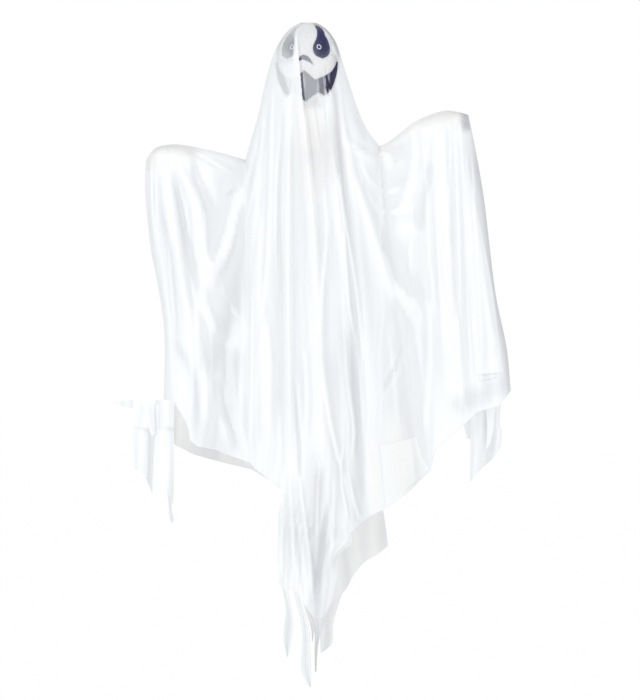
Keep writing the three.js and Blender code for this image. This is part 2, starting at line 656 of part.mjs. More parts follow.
// A forearm lies along +X from its pivot, before its group is turned to its side and raised
function buildForearm(name, arm) {
  const cheek = (facing) => {
    const outline = new THREE.Shape();
    outline.absarc(0, 0, KNUCKLE_RADIUS, Math.PI / 2, (3 * Math.PI) / 2, false);
    outline.lineTo(FORK_LENGTH, -KNUCKLE_RADIUS * 0.75);
    outline.lineTo(FORK_LENGTH, KNUCKLE_RADIUS * 0.75);
    return new THREE.ExtrudeGeometry(outline, { depth: CHEEK_THICKNESS, bevelEnabled: false, curveSegments: 10 })
      .rotateX(Math.PI / 2)
      .translate(0, facing > 0 ? cheekOuter : -cheekInner, 0);
  };
  const bridgeStart = KNUCKLE_RADIUS + 3;
  const bridge = new THREE.BoxGeometry(FORK_LENGTH - bridgeStart, 2 * cheekOuter, 1.5 * KNUCKLE_RADIUS)
    .translate((FORK_LENGTH + bridgeStart) / 2, 0, 0);
  const linkEnd = FOREARM_LENGTH + HAND_SOCKET - SEAT_GAP;
  const rod = new THREE.CylinderGeometry(LINK_RADIUS, LINK_RADIUS, linkEnd - FORK_LENGTH + 2, 14)
    .rotateZ(Math.PI / 2)
    .translate((linkEnd + FORK_LENGTH - 2) / 2, 0, 0);
  const hole = new THREE.CylinderGeometry(SCREW_RADIUS + SEAT_GAP, SCREW_RADIUS + SEAT_GAP, 40, 16);
  const link = solid(cheek(1)).add(solid(cheek(-1))).add(solid(bridge)).add(solid(rod)).subtract(solid(hole));
  addMesh(arm, name + "_forearm_link", geometryOf(link), whitePlastic());
  const sleeve = turned(
    [
      [LINK_RADIUS + SEAT_GAP, FORK_LENGTH + SEAT_GAP],
      [SLEEVE_RADIUS, FORK_LENGTH + SEAT_GAP],
      [SLEEVE_RADIUS, FOREARM_LENGTH - 8],
      [SLEEVE_RADIUS - 1.5, FOREARM_LENGTH - SEAT_GAP],
      [LINK_RADIUS + SEAT_GAP, FOREARM_LENGTH - SEAT_GAP],
    ],
    20,
  ).rotateY(Math.PI / 2);
  addMesh(arm, name + "_forearm_sleeve", sleeve, paleFoam());
}

// One finger: a tube along an arc that curls down, with a round tip
function finger(start, length, curl, yaw) {
  const radius = length / curl;
  const arc = [];
  const steps = 4;
  for (let i = 0; i <= steps; i++) {
    const angle = (curl * i) / steps;
    arc.push(new THREE.Vector3(radius * Math.sin(angle), 0, radius * (Math.cos(angle) - 1)));
  }
  const section = new THREE.Shape();
  section.absarc(0, 0, FINGER_RADIUS, 0, 2 * Math.PI, false);
  const path = new THREE.CatmullRomCurve3(arc);
  const bone = new THREE.ExtrudeGeometry(section, { extrudePath: path, steps, curveSegments: 3 });
  const end = arc[steps];
  const tip = new THREE.SphereGeometry(FINGER_RADIUS * 1.02, 7, 4).translate(end.x, end.y, end.z);
  const whole = [bone, tip].map((piece) => solid(piece.rotateZ(yaw).translate(...start)));
  return whole[0].add(whole[1]);
}

// The hand lies along +X from the wrist with its palm down; its own socket takes the end of the link
function buildHand(name, thumbSide, arm) {
  const droop = radians(HAND_RAISE[name] - FOREARM_RAISE[name]);
  const curl = radians(FINGER_CURL[name]);
  let hand = solid(
    new THREE.SphereGeometry(1, 12, 7)
      .scale(PALM_LENGTH * 0.62, PALM_WIDTH / 2, PALM_THICKNESS / 2)
      .translate(PALM_LENGTH * 0.55, 0, 0),
  );
  FINGER_SHARES.forEach((share, i) => {
    const y = thumbSide * FINGER_PITCH * (1.5 - i);
    hand = hand.add(finger([PALM_LENGTH - 6, y, 1], FINGER_LENGTH * share, curl, 0));
  });
  const thumbYaw = thumbSide * radians(THUMB_SPREAD);
  const thumbRoot = [THUMB_START, thumbSide * PALM_WIDTH * 0.32, -1];
  hand = hand.add(finger(thumbRoot, THUMB_LENGTH, radians(THUMB_CURL), thumbYaw));
  const wrist = new THREE.CylinderGeometry(SLEEVE_RADIUS - 0.5, SLEEVE_RADIUS + 1.5, WRIST_LENGTH, 14)
    .rotateZ(Math.PI / 2)
    .translate(WRIST_LENGTH / 2, 0, 0);
  hand = hand.add(solid(wrist));
  const placed = hand.rotate([0, -THREE.MathUtils.radToDeg(droop), 0]).translate([FOREARM_LENGTH, 0, 0]);
  const reach = FOREARM_LENGTH + HAND_SOCKET;
  const socket = new THREE.CylinderGeometry(LINK_RADIUS + SEAT_GAP, LINK_RADIUS + SEAT_GAP, reach, 18)
    .rotateZ(Math.PI / 2)
    .translate(reach / 2, 0, 0);
  const face = new THREE.BoxGeometry(FOREARM_LENGTH, 200, 200).translate(FOREARM_LENGTH / 2, 0, 0);
  const made = placed.subtract(solid(socket)).subtract(solid(face));
  addMesh(arm, name + "_hand", geometryOf(made), paleFoam());
}

function buildArm(name, side) {
  const raised = new THREE.Group();
  raised.position.set(side * ELBOW_HALF_SPAN, 0, -ELBOW_BELOW_EYE);
  raised.rotation.y = -side * radians(FOREARM_RAISE[name]);
  const turnedOut = new THREE.Group();
  turnedOut.rotation.z = side > 0 ? 0 : Math.PI;
  raised.add(turnedOut);
  ghost.add(raised);
  buildForearm(name, turnedOut);
  buildHand(name, -side, turnedOut);
  buildElbowScrew(name, side);
}

// The gown. Across the front and back it hangs from the head as a bell, and out over the arms as two wings.
// Every point is (x, drop), with its distance in front of or behind the middle plane worked out from both.
const clothHead = CLOTH_THICKNESS + HEAD_SLACK;
const crownTop = CROWN_ABOVE_EYE + clothHead;
const notchDrop = {
  left: crownTop + ELBOW_BELOW_EYE - NOTCH_ABOVE_ELBOW.left,
  right: crownTop + ELBOW_BELOW_EYE - NOTCH_ABOVE_ELBOW.right,
};
const bellWidth = HEAD_WIDTH / 2 + clothHead;
const bellHeight = headHalfHeight + clothHead;
const sideName = (side) => (side < 0 ? "left" : "right");

// Where cloth that flares by so much for each millimetre of drop leaves the head as a tangent
function tangent(flare) {
  const angle = Math.atan2(bellWidth, bellHeight * flare);
  return { drop: bellHeight * (1 - Math.cos(angle)), reach: bellWidth * Math.sin(angle), angle };
}

// Half width of the hanging bell on one side, at a drop
function bellReach(drop, side) {
  const name = sideName(side);
  const flare = NECK_FLARE[name];
  const leave = tangent(flare);
  const rise = THREE.MathUtils.smoothstep(drop / HEAD_HEIGHT, ...SLING_RISE);
  const fall = THREE.MathUtils.smoothstep(drop / HEAD_HEIGHT, ...SLING_FALL);
  const sling = NECK_SLING[name] * rise * (1 - fall);
  if (drop <= leave.drop) {
    const share = (bellHeight - drop) / bellHeight;
    return sling + bellWidth * Math.sqrt(Math.max(0, 1 - share * share));
  }
  const notch = notchDrop[name];
  const down = Math.min(drop, notch);
  const spread = NECK_SPREAD[name] * Math.pow((down - leave.drop) / (notch - leave.drop), 6);
  return sling + leave.reach + flare * (down - leave.drop) + spread + BODY_FLARE * Math.max(0, drop - notch);
}

function bellDepth(drop, flare) {
  const leave = tangent(flare);
  if (drop > leave.drop) return leave.reach + flare * (drop - leave.drop);
  const share = (bellHeight - drop) / bellHeight;
  return bellWidth * Math.sqrt(Math.max(0, 1 - share * share));
}

// The larger of two depths with a soft change between them
const softMax = (a, b) => (a + b + Math.hypot(a - b, 0.5 * Math.min(a, b))) / 2;

// A quarter round that rises from 0 to 1 over a length
function roll(distance, length) {
  if (distance >= length) return 1;
  const share = 1 - Math.max(0, distance) / length;
  return Math.sqrt(1 - share * share);
}

// Height of the folds at a point: each fold is a soft ridge along its path, dying out at its ends
function foldHeight(folds, x, drop) {
  let height = 0;
  for (const { path, rise, width } of folds) {
    let nearest = Infinity;
    let fade = 1;
    for (let i = 0; i + 1 < path.length; i++) {
      const [ax, ad] = path[i];
      const [bx, bd] = path[i + 1];
      const length2 = (bx - ax) ** 2 + (bd - ad) ** 2;
      const along = ((x - ax) * (bx - ax) + (drop - ad) * (bd - ad)) / length2;
      const share = Math.min(1, Math.max(0, along));
      const away = Math.hypot(x - lerp(ax, bx, share), drop - lerp(ad, bd, share));
      if (away < nearest) {
        nearest = away;
        const whole = (i + share) / (path.length - 1);
        fade = Math.min(1, 5 * Math.min(whole + 0.02, 1.02 - whole));
      }
    }
    height += rise * fade * Math.exp(-((nearest / width) ** 2));
  }
  return height;
}

const backFolds = [];
for (let k = 0; k < BACK_FOLD_COUNT; k++) {
  const x = k - (BACK_FOLD_COUNT - 1) / 2;
  backFolds.push({
    path: [[20 * x, 140], [38 * x, 420], [52 * x, 830]],
    rise: BACK_FOLD_RISE,
    width: BACK_FOLD_WIDTH,
  });
}
for (const side of [-1, 1]) {
  backFolds.push({
    path: [[side * 130, 290], [side * 165, 400], [side * 205, 430], [side * 240, 300]],
    rise: 1.2 * BACK_FOLD_RISE,
    width: 1.3 * BACK_FOLD_WIDTH,
  });
  backFolds.push({
    path: [[side * 255, 300], [side * 245, 640]],
    rise: BACK_FOLD_RISE,
    width: BACK_FOLD_WIDTH,
  });
}

// Depth of the cloth. below is the drop under the ridge that carries it, edge the distance to the outer edge,
// and out how far along the arm the point lies, from 0 at the neck to 1 at the fingertips.
function clothDepth(face, x, drop, below, edge, out) {
  const side = Math.sign(x) || 1;
  const front = face < 0;
  const reach = bellReach(drop, side);
  const share = Math.min(1, Math.abs(x) / reach);
  const bell = bellDepth(drop, front ? FRONT_FLARE : BACK_FLARE) * Math.sqrt(1 - share * share);
  const arm = lerp(ELBOW_HALF_DEPTH, HAND_HALF_DEPTH, THREE.MathUtils.smoothstep(out, 0.1, 0.5));
  const swell = WING_SWELL * (1 - Math.exp(-below / SWELL_DROP));
  const wing = (arm + swell) * roll(below, ROLL_HEIGHT) * roll(edge, EDGE_ROLL);
  const smooth = softMax(bell, wing);
  const folds = foldHeight(front ? FRONT_FOLDS : backFolds, x, drop);
  return smooth + (folds * smooth) / (smooth + 12);
}

const place = (face, x, drop, depth) => [x, face * depth, crownTop - drop];

// Shares of the way from the ridge to the hem: a few short rows round the arm, then even rows
const hangShares = [];
for (let i = 0; i <= ROLL_ROWS; i++) hangShares.push(ROLL_SHARE * Math.pow(i / ROLL_ROWS, 1.7));
for (let i = 1; i <= HANG_ROWS; i++) hangShares.push(lerp(ROLL_SHARE, 1, i / HANG_ROWS));

const gown = new Sheet();

// A strip of the sheet between two rows of corners, turned to face outwards
function band(panel, face, upper, lower) {
  for (let k = 0; k + 1 < upper.length; k++) {
    const ring = [upper[k], lower[k], lower[k + 1], upper[k + 1]];
    gown.quad(panel, ...(face < 0 ? ring : ring.reverse()));
  }
}

function seam(face, side, share) {
  const name = sideName(side);
  const [footX, footDrop] = (face < 0 ? FRONT_HEM : BACK_HEM)[name][0];
  return [
    side * lerp(bellReach(notchDrop[name], side), footX, share),
    lerp(notchDrop[name], footDrop, share),
  ];
}

// The middle of the gown on one face: rows over the crown, down the neck, and on to the hem
function hangCentre(face, columns) {
  const name = face < 0 ? "front" : "back";
  const hem = CENTRE_HEM[name];
  const hemDrop = (x) => {
    const k = hem.findIndex(([at], i) => i > 0 && x <= at + 0.01);
    const [ax, ad] = hem[k - 1];
    const [bx, bd] = hem[k];
    return lerp(ad, bd, (x - ax) / (bx - ax));
  };
  const rows = [];
  const leave = { left: tangent(NECK_FLARE.left), right: tangent(NECK_FLARE.right) };
  const first = Math.asin(EYELET_RADIUS / bellWidth);
  const mix = (values, share) => lerp(values.left, values.right, share);
  for (let i = 0; i <= CROWN_ROWS + NECK_ROWS; i++) {
    const row = [];
    for (let k = 0; k <= columns; k++) {
      const share = k / columns;
      const turn = Math.sin(radians(180 * share - 90));
      let drop = 0;
      if (i <= CROWN_ROWS) {
        const last = mix({ left: leave.left.angle, right: leave.right.angle }, share);
        drop = bellHeight * (1 - Math.cos(lerp(first, last, i / CROWN_ROWS)));
      } else {
        const from = mix({ left: leave.left.drop, right: leave.right.drop }, share);
        drop = lerp(from, mix(notchDrop, share), Math.pow((i - CROWN_ROWS) / NECK_ROWS, 1.5));
      }
      const side = turn < 0 ? -1 : 1;
      const x = turn * bellReach(drop, side);
      const rim = k === 0 || k === columns;
      const sink = i === 0 ? EYELET_SINK : 0;
      row.push(place(face, x, drop + sink, rim ? 0 : clothDepth(face, x, drop, 0, EDGE_ROLL, 0)));
    }
    rows.push(row);
  }
  const notchRow = rows[rows.length - 1];
  const footLeft = seam(face, -1, 1)[0];
  const footRight = seam(face, 1, 1)[0];
  for (const share of hangShares.slice(1)) {
    const row = [];
    for (let k = 0; k <= columns; k++) {
      const across = k / columns;
      const foot = lerp(footLeft, footRight, across);
      const x = lerp(notchRow[k][0], foot, share);
      const top = mix(notchDrop, across);
      const drop = lerp(top, hemDrop(foot), share);
      const below = Math.max(0, drop - top - (1 - Math.abs(2 * across - 1)) * MIDDLE_SWELL_DELAY);
      row.push(place(face, x, drop, clothDepth(face, x, drop, below, EDGE_ROLL, 0)));
    }
    rows.push(row);
  }
  for (let i = 0; i + 1 < rows.length; i++) band("drape_" + name + "_centre", face, rows[i], rows[i + 1]);
  return rows;
}

// Points of the ridge that the cloth makes over one arm, from the neck notch to beyond the fingertips
function ridgePoints(side) {
  const name = sideName(side);
  const raise = radians(FOREARM_RAISE[name]);
  const handRaise = radians(HAND_RAISE[name]);
  const elbow = [ELBOW_HALF_SPAN, -ELBOW_BELOW_EYE];
  const along = ([x, z], angle, length, above) => [
    x + length * Math.cos(angle) - above * Math.sin(angle),
    z + length * Math.sin(angle) + above * Math.cos(angle),
  ];
  const wrist = along(elbow, raise, FOREARM_LENGTH, 0);
  const knuckle = along(wrist, handRaise, PALM_LENGTH - 6, 0);
  const overHand = PALM_THICKNESS / 2 + CLOTH_THICKNESS + HAND_SLACK;
  const overFinger = FINGER_RADIUS + 1 + CLOTH_THICKNESS + HAND_SLACK;
  const curl = radians(FINGER_CURL[name]);
  const bend = FINGER_LENGTH / curl;
  const centre = along(knuckle, handRaise, 0, -bend);
  const onFinger = (angle) => along(centre, handRaise - angle, 0, bend + overFinger);
  const outermost = Math.min(curl, Math.PI / 2 + handRaise);
  const points = [
    [bellReach(notchDrop[name], side), crownTop - notchDrop[name]],
    along(elbow, raise, 0.45 * FOREARM_LENGTH, SLEEVE_RADIUS + CLOTH_THICKNESS + ARM_SLACK),
    along(wrist, (raise + handRaise) / 2, -4, overHand),
    along(wrist, handRaise, 0.6 * PALM_LENGTH, overHand),
    onFinger(0.35 * outermost),
    onFinger(0.75 * outermost),
  ];
  const end = onFinger(outermost);
  points.push([Math.max(end[0], onFinger(0.9 * outermost)[0]) + 1, lerp(points[5][1], end[1], 0.5)]);
  return points.map(([x, z]) => [x, crownTop - z]);
}

// One wing: its front and back share the ridge over the arm and the outer edge beyond the hand
function hangWing(side) {
  const name = sideName(side);
  const ridge = through(ridgePoints(side), true);
  const tip = ridge(1);
  const edge = through([tip, ...EDGE_SWAY[name].map(([out, down]) => [tip[0] + out, tip[1] + down])], true);
  const corner = edge(1);
  const shares = [];
  for (let k = 0; k <= WING_COLUMNS; k++) shares.push(Math.sin(radians((90 * k) / WING_COLUMNS)));
  const hems = {};
  for (const face of [-1, 1]) {
    const hem = through([...(face < 0 ? FRONT_HEM : BACK_HEM)[name], corner], false);
    const foot = hem(0);
    const start = ridge(0);
    const rows = hangShares.map((t) =>
      shares.map((s) => {
        const [seamX, seamDrop] = seam(face, side, t);
        const [edgeX, edgeDrop] = edge(t);
        const over = ridge(s);
        const under = hem(s);
        const blend = (n, seamAt, edgeAt) =>
          lerp(seamAt, edgeAt, s) +
          lerp(over[n], under[n], t) -
          lerp(lerp(start[n], tip[n], s), lerp(foot[n], corner[n], s), t);
        const x = blend(0, Math.abs(seamX), edgeX);
        const drop = blend(1, seamDrop, edgeDrop);
        const onEdge = t === 0 || s === 1;
        const depth = onEdge ? 0 : clothDepth(face, side * x, drop, drop - over[1], edgeX - x, s);
        return place(face, side * x, drop, depth);
      }),
    );
    for (let i = 0; i + 1 < rows.length; i++) band("drape_" + name + "_wing", face * side, rows[i], rows[i + 1]);
    hems[face < 0 ? "front" : "back"] = rows[rows.length - 1];
  }
  return hems;
}

// A length of cloth that hangs on from part of a row of hem corners, between its two side curves
function hangOn(panel, face, hem, length) {
  const top = hem.slice(length.from, length.to + 1);
  const last = top[top.length - 1];
  const left = through([[top[0][0], crownTop - top[0][2]], ...length.left], true);
  const right = through([[last[0], crownTop - last[2]], ...length.right], true);
  let upper = top;
  for (let i = 1; i <= length.rows; i++) {
    const t = i / length.rows;
    const [leftX, leftDrop] = left(t);
    const [rightX, rightDrop] = right(t);
    const lower = top.map(([, y], k) => {
      const across = k / (top.length - 1);
      const pleat = length.pleatDepth * Math.min(1, 2 * t) * Math.cos(2 * Math.PI * length.pleats * across);
      const depth = lerp(y, face * length.depth, THREE.MathUtils.smoothstep(t, 0, 1)) + face * pleat;
      const drop = lerp(leftDrop, rightDrop, across) + length.belly * t * Math.sin(Math.PI * across);
      return [lerp(leftX, rightX, across), depth, crownTop - drop];
    });
    band(panel, face, upper, lower);
    upper = lower;
  }
  return upper;
}

// The pieces that hang from the hems: a long tongue front and back, corner tails, and torn streamers
function hangEnds(frontHem, backHem, leftHem, rightHem) {
  const frontEnd = hangOn("front_tongue", -1, frontHem, FRONT_TONGUE);
  const backEnd = hangOn("back_tongue", 1, backHem, BACK_TONGUE);
  const streamers = [
    ...FRONT_STREAMERS.map((length) => [-1, frontEnd, length]),
    ...BACK_STREAMERS.map((length) => [1, backEnd, length]),
  ];
  streamers.forEach(([face, foot, length], i) => hangOn("streamer_" + (i + 1), face, foot, length));
  const outerToInner = (hem) => [...hem].reverse();
  const fromCorner = (length) => ({ ...length, from: 0, to: length.to - length.from });
  hangOn("left_corner_flap", -1, outerToInner(leftHem.front), fromCorner(LEFT_FLAP));
  hangOn("left_tail", 1, outerToInner(leftHem.back), fromCorner(LEFT_TAIL));
  hangOn("right_tail", -1, rightHem.front, RIGHT_TAIL);
}

buildHead();
buildFace();
buildFrame();
buildYoke();
buildArm("left", -1);
buildArm("right", 1);

const cloth = new THREE.Group();
ghost.add(cloth);
const frontRows = hangCentre(-1, FRONT_COLUMNS);
const backRows = hangCentre(1, BACK_COLUMNS);
hangEnds(frontRows[frontRows.length - 1], backRows[backRows.length - 1], hangWing(-1), hangWing(1));
for (const [name, geometry] of gown.shells(CLOTH_THICKNESS, SEAM_PULL)) addMesh(cloth, name, geometry, sheerCloth());

export default ghost;
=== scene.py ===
# %% [markdown]
# # A hanging ghost
# The real object is a light moulded head on a rod, two arms that can be raised, and one long sheer cloth
# thrown over all of it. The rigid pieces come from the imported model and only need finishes. The cloth is
# made here: every panel is a grid of points whose depth is worked out from the body under it, plus folds.
# Lengths in the tables are millimetres, because that is how a maker would write them; Blender gets metres.

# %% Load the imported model
import json
import math

import bpy
import numpy as np
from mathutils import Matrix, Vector
from mathutils.bvhtree import BVHTree


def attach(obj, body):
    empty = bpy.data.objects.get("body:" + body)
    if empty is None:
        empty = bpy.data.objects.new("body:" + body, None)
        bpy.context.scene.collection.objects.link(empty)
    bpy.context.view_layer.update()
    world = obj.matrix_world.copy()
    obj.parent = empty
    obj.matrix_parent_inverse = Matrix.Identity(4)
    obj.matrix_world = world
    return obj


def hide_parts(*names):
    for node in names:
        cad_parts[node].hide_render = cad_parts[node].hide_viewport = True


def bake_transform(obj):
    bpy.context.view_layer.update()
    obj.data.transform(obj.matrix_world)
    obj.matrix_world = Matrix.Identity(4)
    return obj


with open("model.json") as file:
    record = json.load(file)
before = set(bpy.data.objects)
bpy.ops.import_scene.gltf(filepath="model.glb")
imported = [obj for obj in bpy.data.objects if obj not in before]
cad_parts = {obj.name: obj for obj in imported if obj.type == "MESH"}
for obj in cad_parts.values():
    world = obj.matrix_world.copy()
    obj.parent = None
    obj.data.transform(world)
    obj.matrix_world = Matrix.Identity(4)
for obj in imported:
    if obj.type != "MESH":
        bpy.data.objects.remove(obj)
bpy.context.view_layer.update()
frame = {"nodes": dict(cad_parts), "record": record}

MM = 0.001
scene = bpy.context.scene
scene.view_settings.view_transform = "Standard"


# %% Helpers for nodes and meshes
def material(name):
    made = bpy.data.materials.new(name)
    made.use_nodes = True
    return made


def add(tree, kind, preset=None, **settings):
    """A node of one kind, with settings of the node itself and preset values for its sockets."""
    made = tree.nodes.new("ShaderNode" + kind)
    for key, value in settings.items():
        setattr(made, key, value)
    for word, value in (preset or {}).items():
        made.inputs[word].default_value = value
    return made


def wire(tree, *pairs):
    for source, socket in pairs:
        tree.links.new(source, socket)


def math_node(tree, operation, first, second, **settings):
    made = add(tree, "Math", operation=operation, **settings)
    for socket, value in zip(made.inputs, (first, second)):
        if hasattr(value, "links"):
            tree.links.new(value, socket)
        else:
            socket.default_value = value
    return made.outputs[0]


def new_piece(name, points, faces, finish=None, smooth=True):
    mesh = bpy.data.meshes.new(name)
    mesh.from_pydata(points, [], faces)
    mesh.polygons.foreach_set("use_smooth", [smooth] * len(mesh.polygons))
    if finish:
        mesh.materials.append(finish)
    made = bpy.data.objects.new(name, mesh)
    scene.collection.objects.link(made)
    return made


def grid_faces(down, across):
    """The four-sided faces between the points of a grid that is listed row by row."""
    return [
        (i * across + k, (i + 1) * across + k, (i + 1) * across + k + 1, i * across + k + 1)
        for i in range(down - 1) for k in range(across - 1)
    ]


print("faces of a grid of 3 by 4 points:", len(grid_faces(3, 4)))

# %% [markdown]
# ## Camera
# The picture was taken level with the ghost's waist, from far enough away that nothing looks foreshortened.
# A long lens at ten metres gives the same flat view. The frame is as wide and high as the picture.

# %% Place the camera
PHOTO_WIDTH, PHOTO_HEIGHT = 640, 700
MM_PER_PIXEL = 1.818
CROWN_PIXEL, CROWN_HEIGHT = (308, 21.7), 6.3
CAMERA_DISTANCE, SENSOR_WIDTH = 10.0, 36

frame_height = PHOTO_HEIGHT * MM_PER_PIXEL * MM
aim_x = (PHOTO_WIDTH / 2 - CROWN_PIXEL[0]) * MM_PER_PIXEL * MM
aim_z = (CROWN_HEIGHT - (PHOTO_HEIGHT / 2 - CROWN_PIXEL[1]) * MM_PER_PIXEL) * MM
camera_data = bpy.data.cameras.new("picture_camera")
camera_data.sensor_width = SENSOR_WIDTH
camera_data.lens = SENSOR_WIDTH * CAMERA_DISTANCE / frame_height
camera = bpy.data.objects.new("picture_camera", camera_data)
camera.location = (aim_x, -CAMERA_DISTANCE, aim_z)
camera.rotation_euler = (math.radians(90), 0, 0)
scene.collection.objects.link(camera)
scene.camera = camera
print("lens", round(camera_data.lens, 1), "mm, aimed at", round(aim_x, 4), round(aim_z, 4))

# %% [markdown]
# ## Light, floor and background
# White cloth shows its folds only if the light is a little below full white and comes more from one side.
# The surroundings give most of the light, evenly; a soft lamp in front on the left models the folds, and a
# weaker one on the right keeps the far flanks open. The background is white for what the camera sees, and the
# floor is pale and takes a faint shadow.

# %% Make the studio
AMBIENT = 0.775
FLOOR_HEIGHT, FLOOR_HALF, FLOOR_GLOW = -1.34, 30, 0.99
LAMPS = [("key_lamp", (-2.2, -3.4, 1.1), 1.6, 44), ("fill_lamp", (2.8, -3.0, -0.2), 2.5, 29)]
LAMP_AIM = (0, 0, -0.5)


def lamp(name, place, size, watts):
    data = bpy.data.lights.new(name, "AREA")
    data.shape, data.size, data.energy = "SQUARE", size, watts
    made = bpy.data.objects.new(name, data)
    made.location = place
    made.rotation_euler = (Vector(LAMP_AIM) - Vector(place)).to_track_quat("-Z", "Y").to_euler()
    scene.collection.objects.link(made)
    return made


def seen_directly(tree):
    """1 where the camera, a mirror or clear glass looks, 0 for light that falls on a matt surface."""
    rays = add(tree, "LightPath").outputs
    either = math_node(tree, "MAXIMUM", rays["Is Camera Ray"], rays["Is Glossy Ray"])
    return math_node(tree, "MAXIMUM", either, rays["Is Transmission Ray"])


def mixed(tree, share, first, second, kind):
    """Two shaders mixed by a share and led to the output."""
    mix, out = add(tree, "MixShader"), add(tree, "Output" + kind)
    wire(tree, (share, mix.inputs[0]), (first.outputs[0], mix.inputs[1]), (second.outputs[0], mix.inputs[2]),
         (mix.outputs[0], out.inputs["Surface"]))


scene.world = bpy.data.worlds.new("white_studio")
scene.world.use_nodes = True
sky = scene.world.node_tree
sky.nodes.clear()
surround = add(sky, "Background", {"Color": (0.975, 0.985, 1.0, 1), "Strength": AMBIENT})
white = add(sky, "Background", {"Color": (1, 1, 1, 1)})
mixed(sky, seen_directly(sky), surround, white, "World")

floor_material = material("pale_floor")
tree = floor_material.node_tree
tree.nodes.clear()
matt = add(tree, "BsdfDiffuse", {"Color": (0.9, 0.9, 0.9, 1)})
floor_share = math_node(tree, "MULTIPLY", seen_directly(tree), FLOOR_GLOW)
mixed(tree, floor_share, matt, add(tree, "Emission"), "Material")
square = ((-1, -1), (1, -1), (1, 1), (-1, 1))
floor_corners = [(x * FLOOR_HALF, y * FLOOR_HALF, FLOOR_HEIGHT) for x, y in square]
floor = new_piece("studio_floor", floor_corners, [(0, 1, 2, 3)], floor_material, smooth=False)
lamps = [lamp(*row) for row in LAMPS]
print("lamps:", [(made.name, made.data.energy) for made in lamps], "surroundings", AMBIENT)

# %% [markdown]
# ## The gown's measurements
# The cloth touches the head at the crown, falls as a narrow bell past the neck and body, and is carried out
# over the two arms as wings. These are the same sizes that the rigid pieces were made from, so the cloth lies
# over them without fitting. A place is given as [x, drop]: millimetres to the right of the middle, and below
# the cloth's crown.

# %% Sizes of the body under the cloth
HEAD_WIDTH, HEAD_HEIGHT, CROWN_ABOVE_EYE = 114, 156, 3
ELBOW_HALF_SPAN, ELBOW_BELOW_EYE = 109, 257
FOREARM_LENGTH, SLEEVE_RADIUS = 118, 8.5
FOREARM_RAISE = {"left": 12.6, "right": 37}
HAND_RAISE = {"left": 4, "right": 20}
FINGER_CURL = {"left": 125, "right": 52}
PALM_LENGTH, PALM_THICKNESS, FINGER_RADIUS, FINGER_LENGTH = 40, 18, 5, 52
CLOTH, HEAD_SLACK, ARM_SLACK, HAND_SLACK = 0.9, 2.4, 4, 3
EYELET_RADIUS, EYELET_SINK = 7.5, 2.4

half_height = HEAD_HEIGHT / 2
bell_width = HEAD_WIDTH / 2 + CLOTH + HEAD_SLACK
bell_height = half_height + CLOTH + HEAD_SLACK
crown_top = CROWN_ABOVE_EYE + CLOTH + HEAD_SLACK
print("cloth crown at", crown_top, "mm, bell", bell_width, "by", bell_height)

# %% Sizes of the cloth's outline
FRONT_FLARE, BACK_FLARE, BODY_FLARE = 0.1, 0.07, 0.13
ELBOW_HALF_DEPTH, HAND_HALF_DEPTH = 17, 30
ROLL_HEIGHT, EDGE_ROLL = 15, 30
WING_SWELL, SWELL_DROP, MIDDLE_SWELL_DELAY = 36, 260, 60
NOTCH_ABOVE_ELBOW = {"left": 12.3, "right": 37.3}
NOTCH_DROP = {name: crown_top + ELBOW_BELOW_EYE - above for name, above in NOTCH_ABOVE_ELBOW.items()}
NECK_SLING = {"left": 5, "right": 0}
SLING_RISE, SLING_FALL = (0.15, 0.45), (0.6, 1.15)
NECK_FLARE = {"left": 0.29, "right": 0.31}
NECK_SPREAD, SPREAD_POWER = {"left": 0, "right": 20}, 6
EDGE_SWAY = {
    "left": [[2, 45], [-8, 156], [-22, 230], [-33, 310], [-32, 447]],
    "right": [[13, 62], [28, 149], [50, 327], [70, 426], [77, 500]],
}
FRONT_HEM = {
    "left": [[105, 799], [140, 787], [169, 776], [200, 771], [213, 759], [216, 738], [226, 716], [239, 696]],
    "right": [[137, 883], [182, 853], [221, 815], [231, 776], [280, 733], [307, 708], [344, 698]],
}
BACK_HEM = {
    "left": [[105, 815], [149, 804], [207, 788], [243, 770], [257, 730]],
    "right": [[137, 884], [180, 846], [212, 806], [224, 768], [274, 724], [325, 694]],
}
CENTRE_HEM = {
    "front": [[-105, 799], [-84, 818], [-45, 850], [16, 880], [77, 925], [106, 898], [137, 883]],
    "back": [[-105, 815], [-60, 842], [-15, 872], [60, 884], [137, 884]],
}
print("outline points:", sum(len(row) for table in (EDGE_SWAY, FRONT_HEM, BACK_HEM) for row in table.values()))

# %% [markdown]
# ## Curves through points
# An outline is a few points with a smooth or straight run between them. The smooth run is a Catmull-Rom curve
# spaced by the square root of each step, which doesn't overshoot at uneven points.

# %% Curve helper
def lerp(a, b, t):
    return a + (b - a) * t


def smoothstep(value, low, high):
    share = np.clip((value - low) / (high - low), 0, 1)
    return share * share * (3 - 2 * share)


def through(points, smooth=True):
    """A function of t from 0 to 1 that runs through the points and gives an array with [x, drop] last."""
    p = np.array(points, float)
    spans = len(p) - 1
    ends = np.vstack([2 * p[0] - p[1], p, 2 * p[-1] - p[-2]])

    def at(t):
        along = np.clip(np.asarray(t, float), 0, 1) * spans
        k = np.minimum(along.astype(int), spans - 1)
        u = (along - k)[..., None]
        if not smooth:
            return lerp(p[k], p[k + 1], u)
        a, b, c, d = (ends[k + i] for i in range(4))
        ab, bc, cd = (np.sqrt(np.linalg.norm(q - r, axis=-1))[..., None] for q, r in ((b, a), (c, b), (d, c)))
        leave = ((b - a) / ab - (c - a) / (ab + bc) + (c - b) / bc) * bc
        arrive = ((c - b) / bc - (d - b) / (bc + cd) + (d - c) / cd) * bc
        u2, u3 = u * u, u * u * u
        return (
            (2 * u3 - 3 * u2 + 1) * b + (u3 - 2 * u2 + u) * leave
            + (3 * u2 - 2 * u3) * c + (u3 - u2) * arrive
        )

    return at


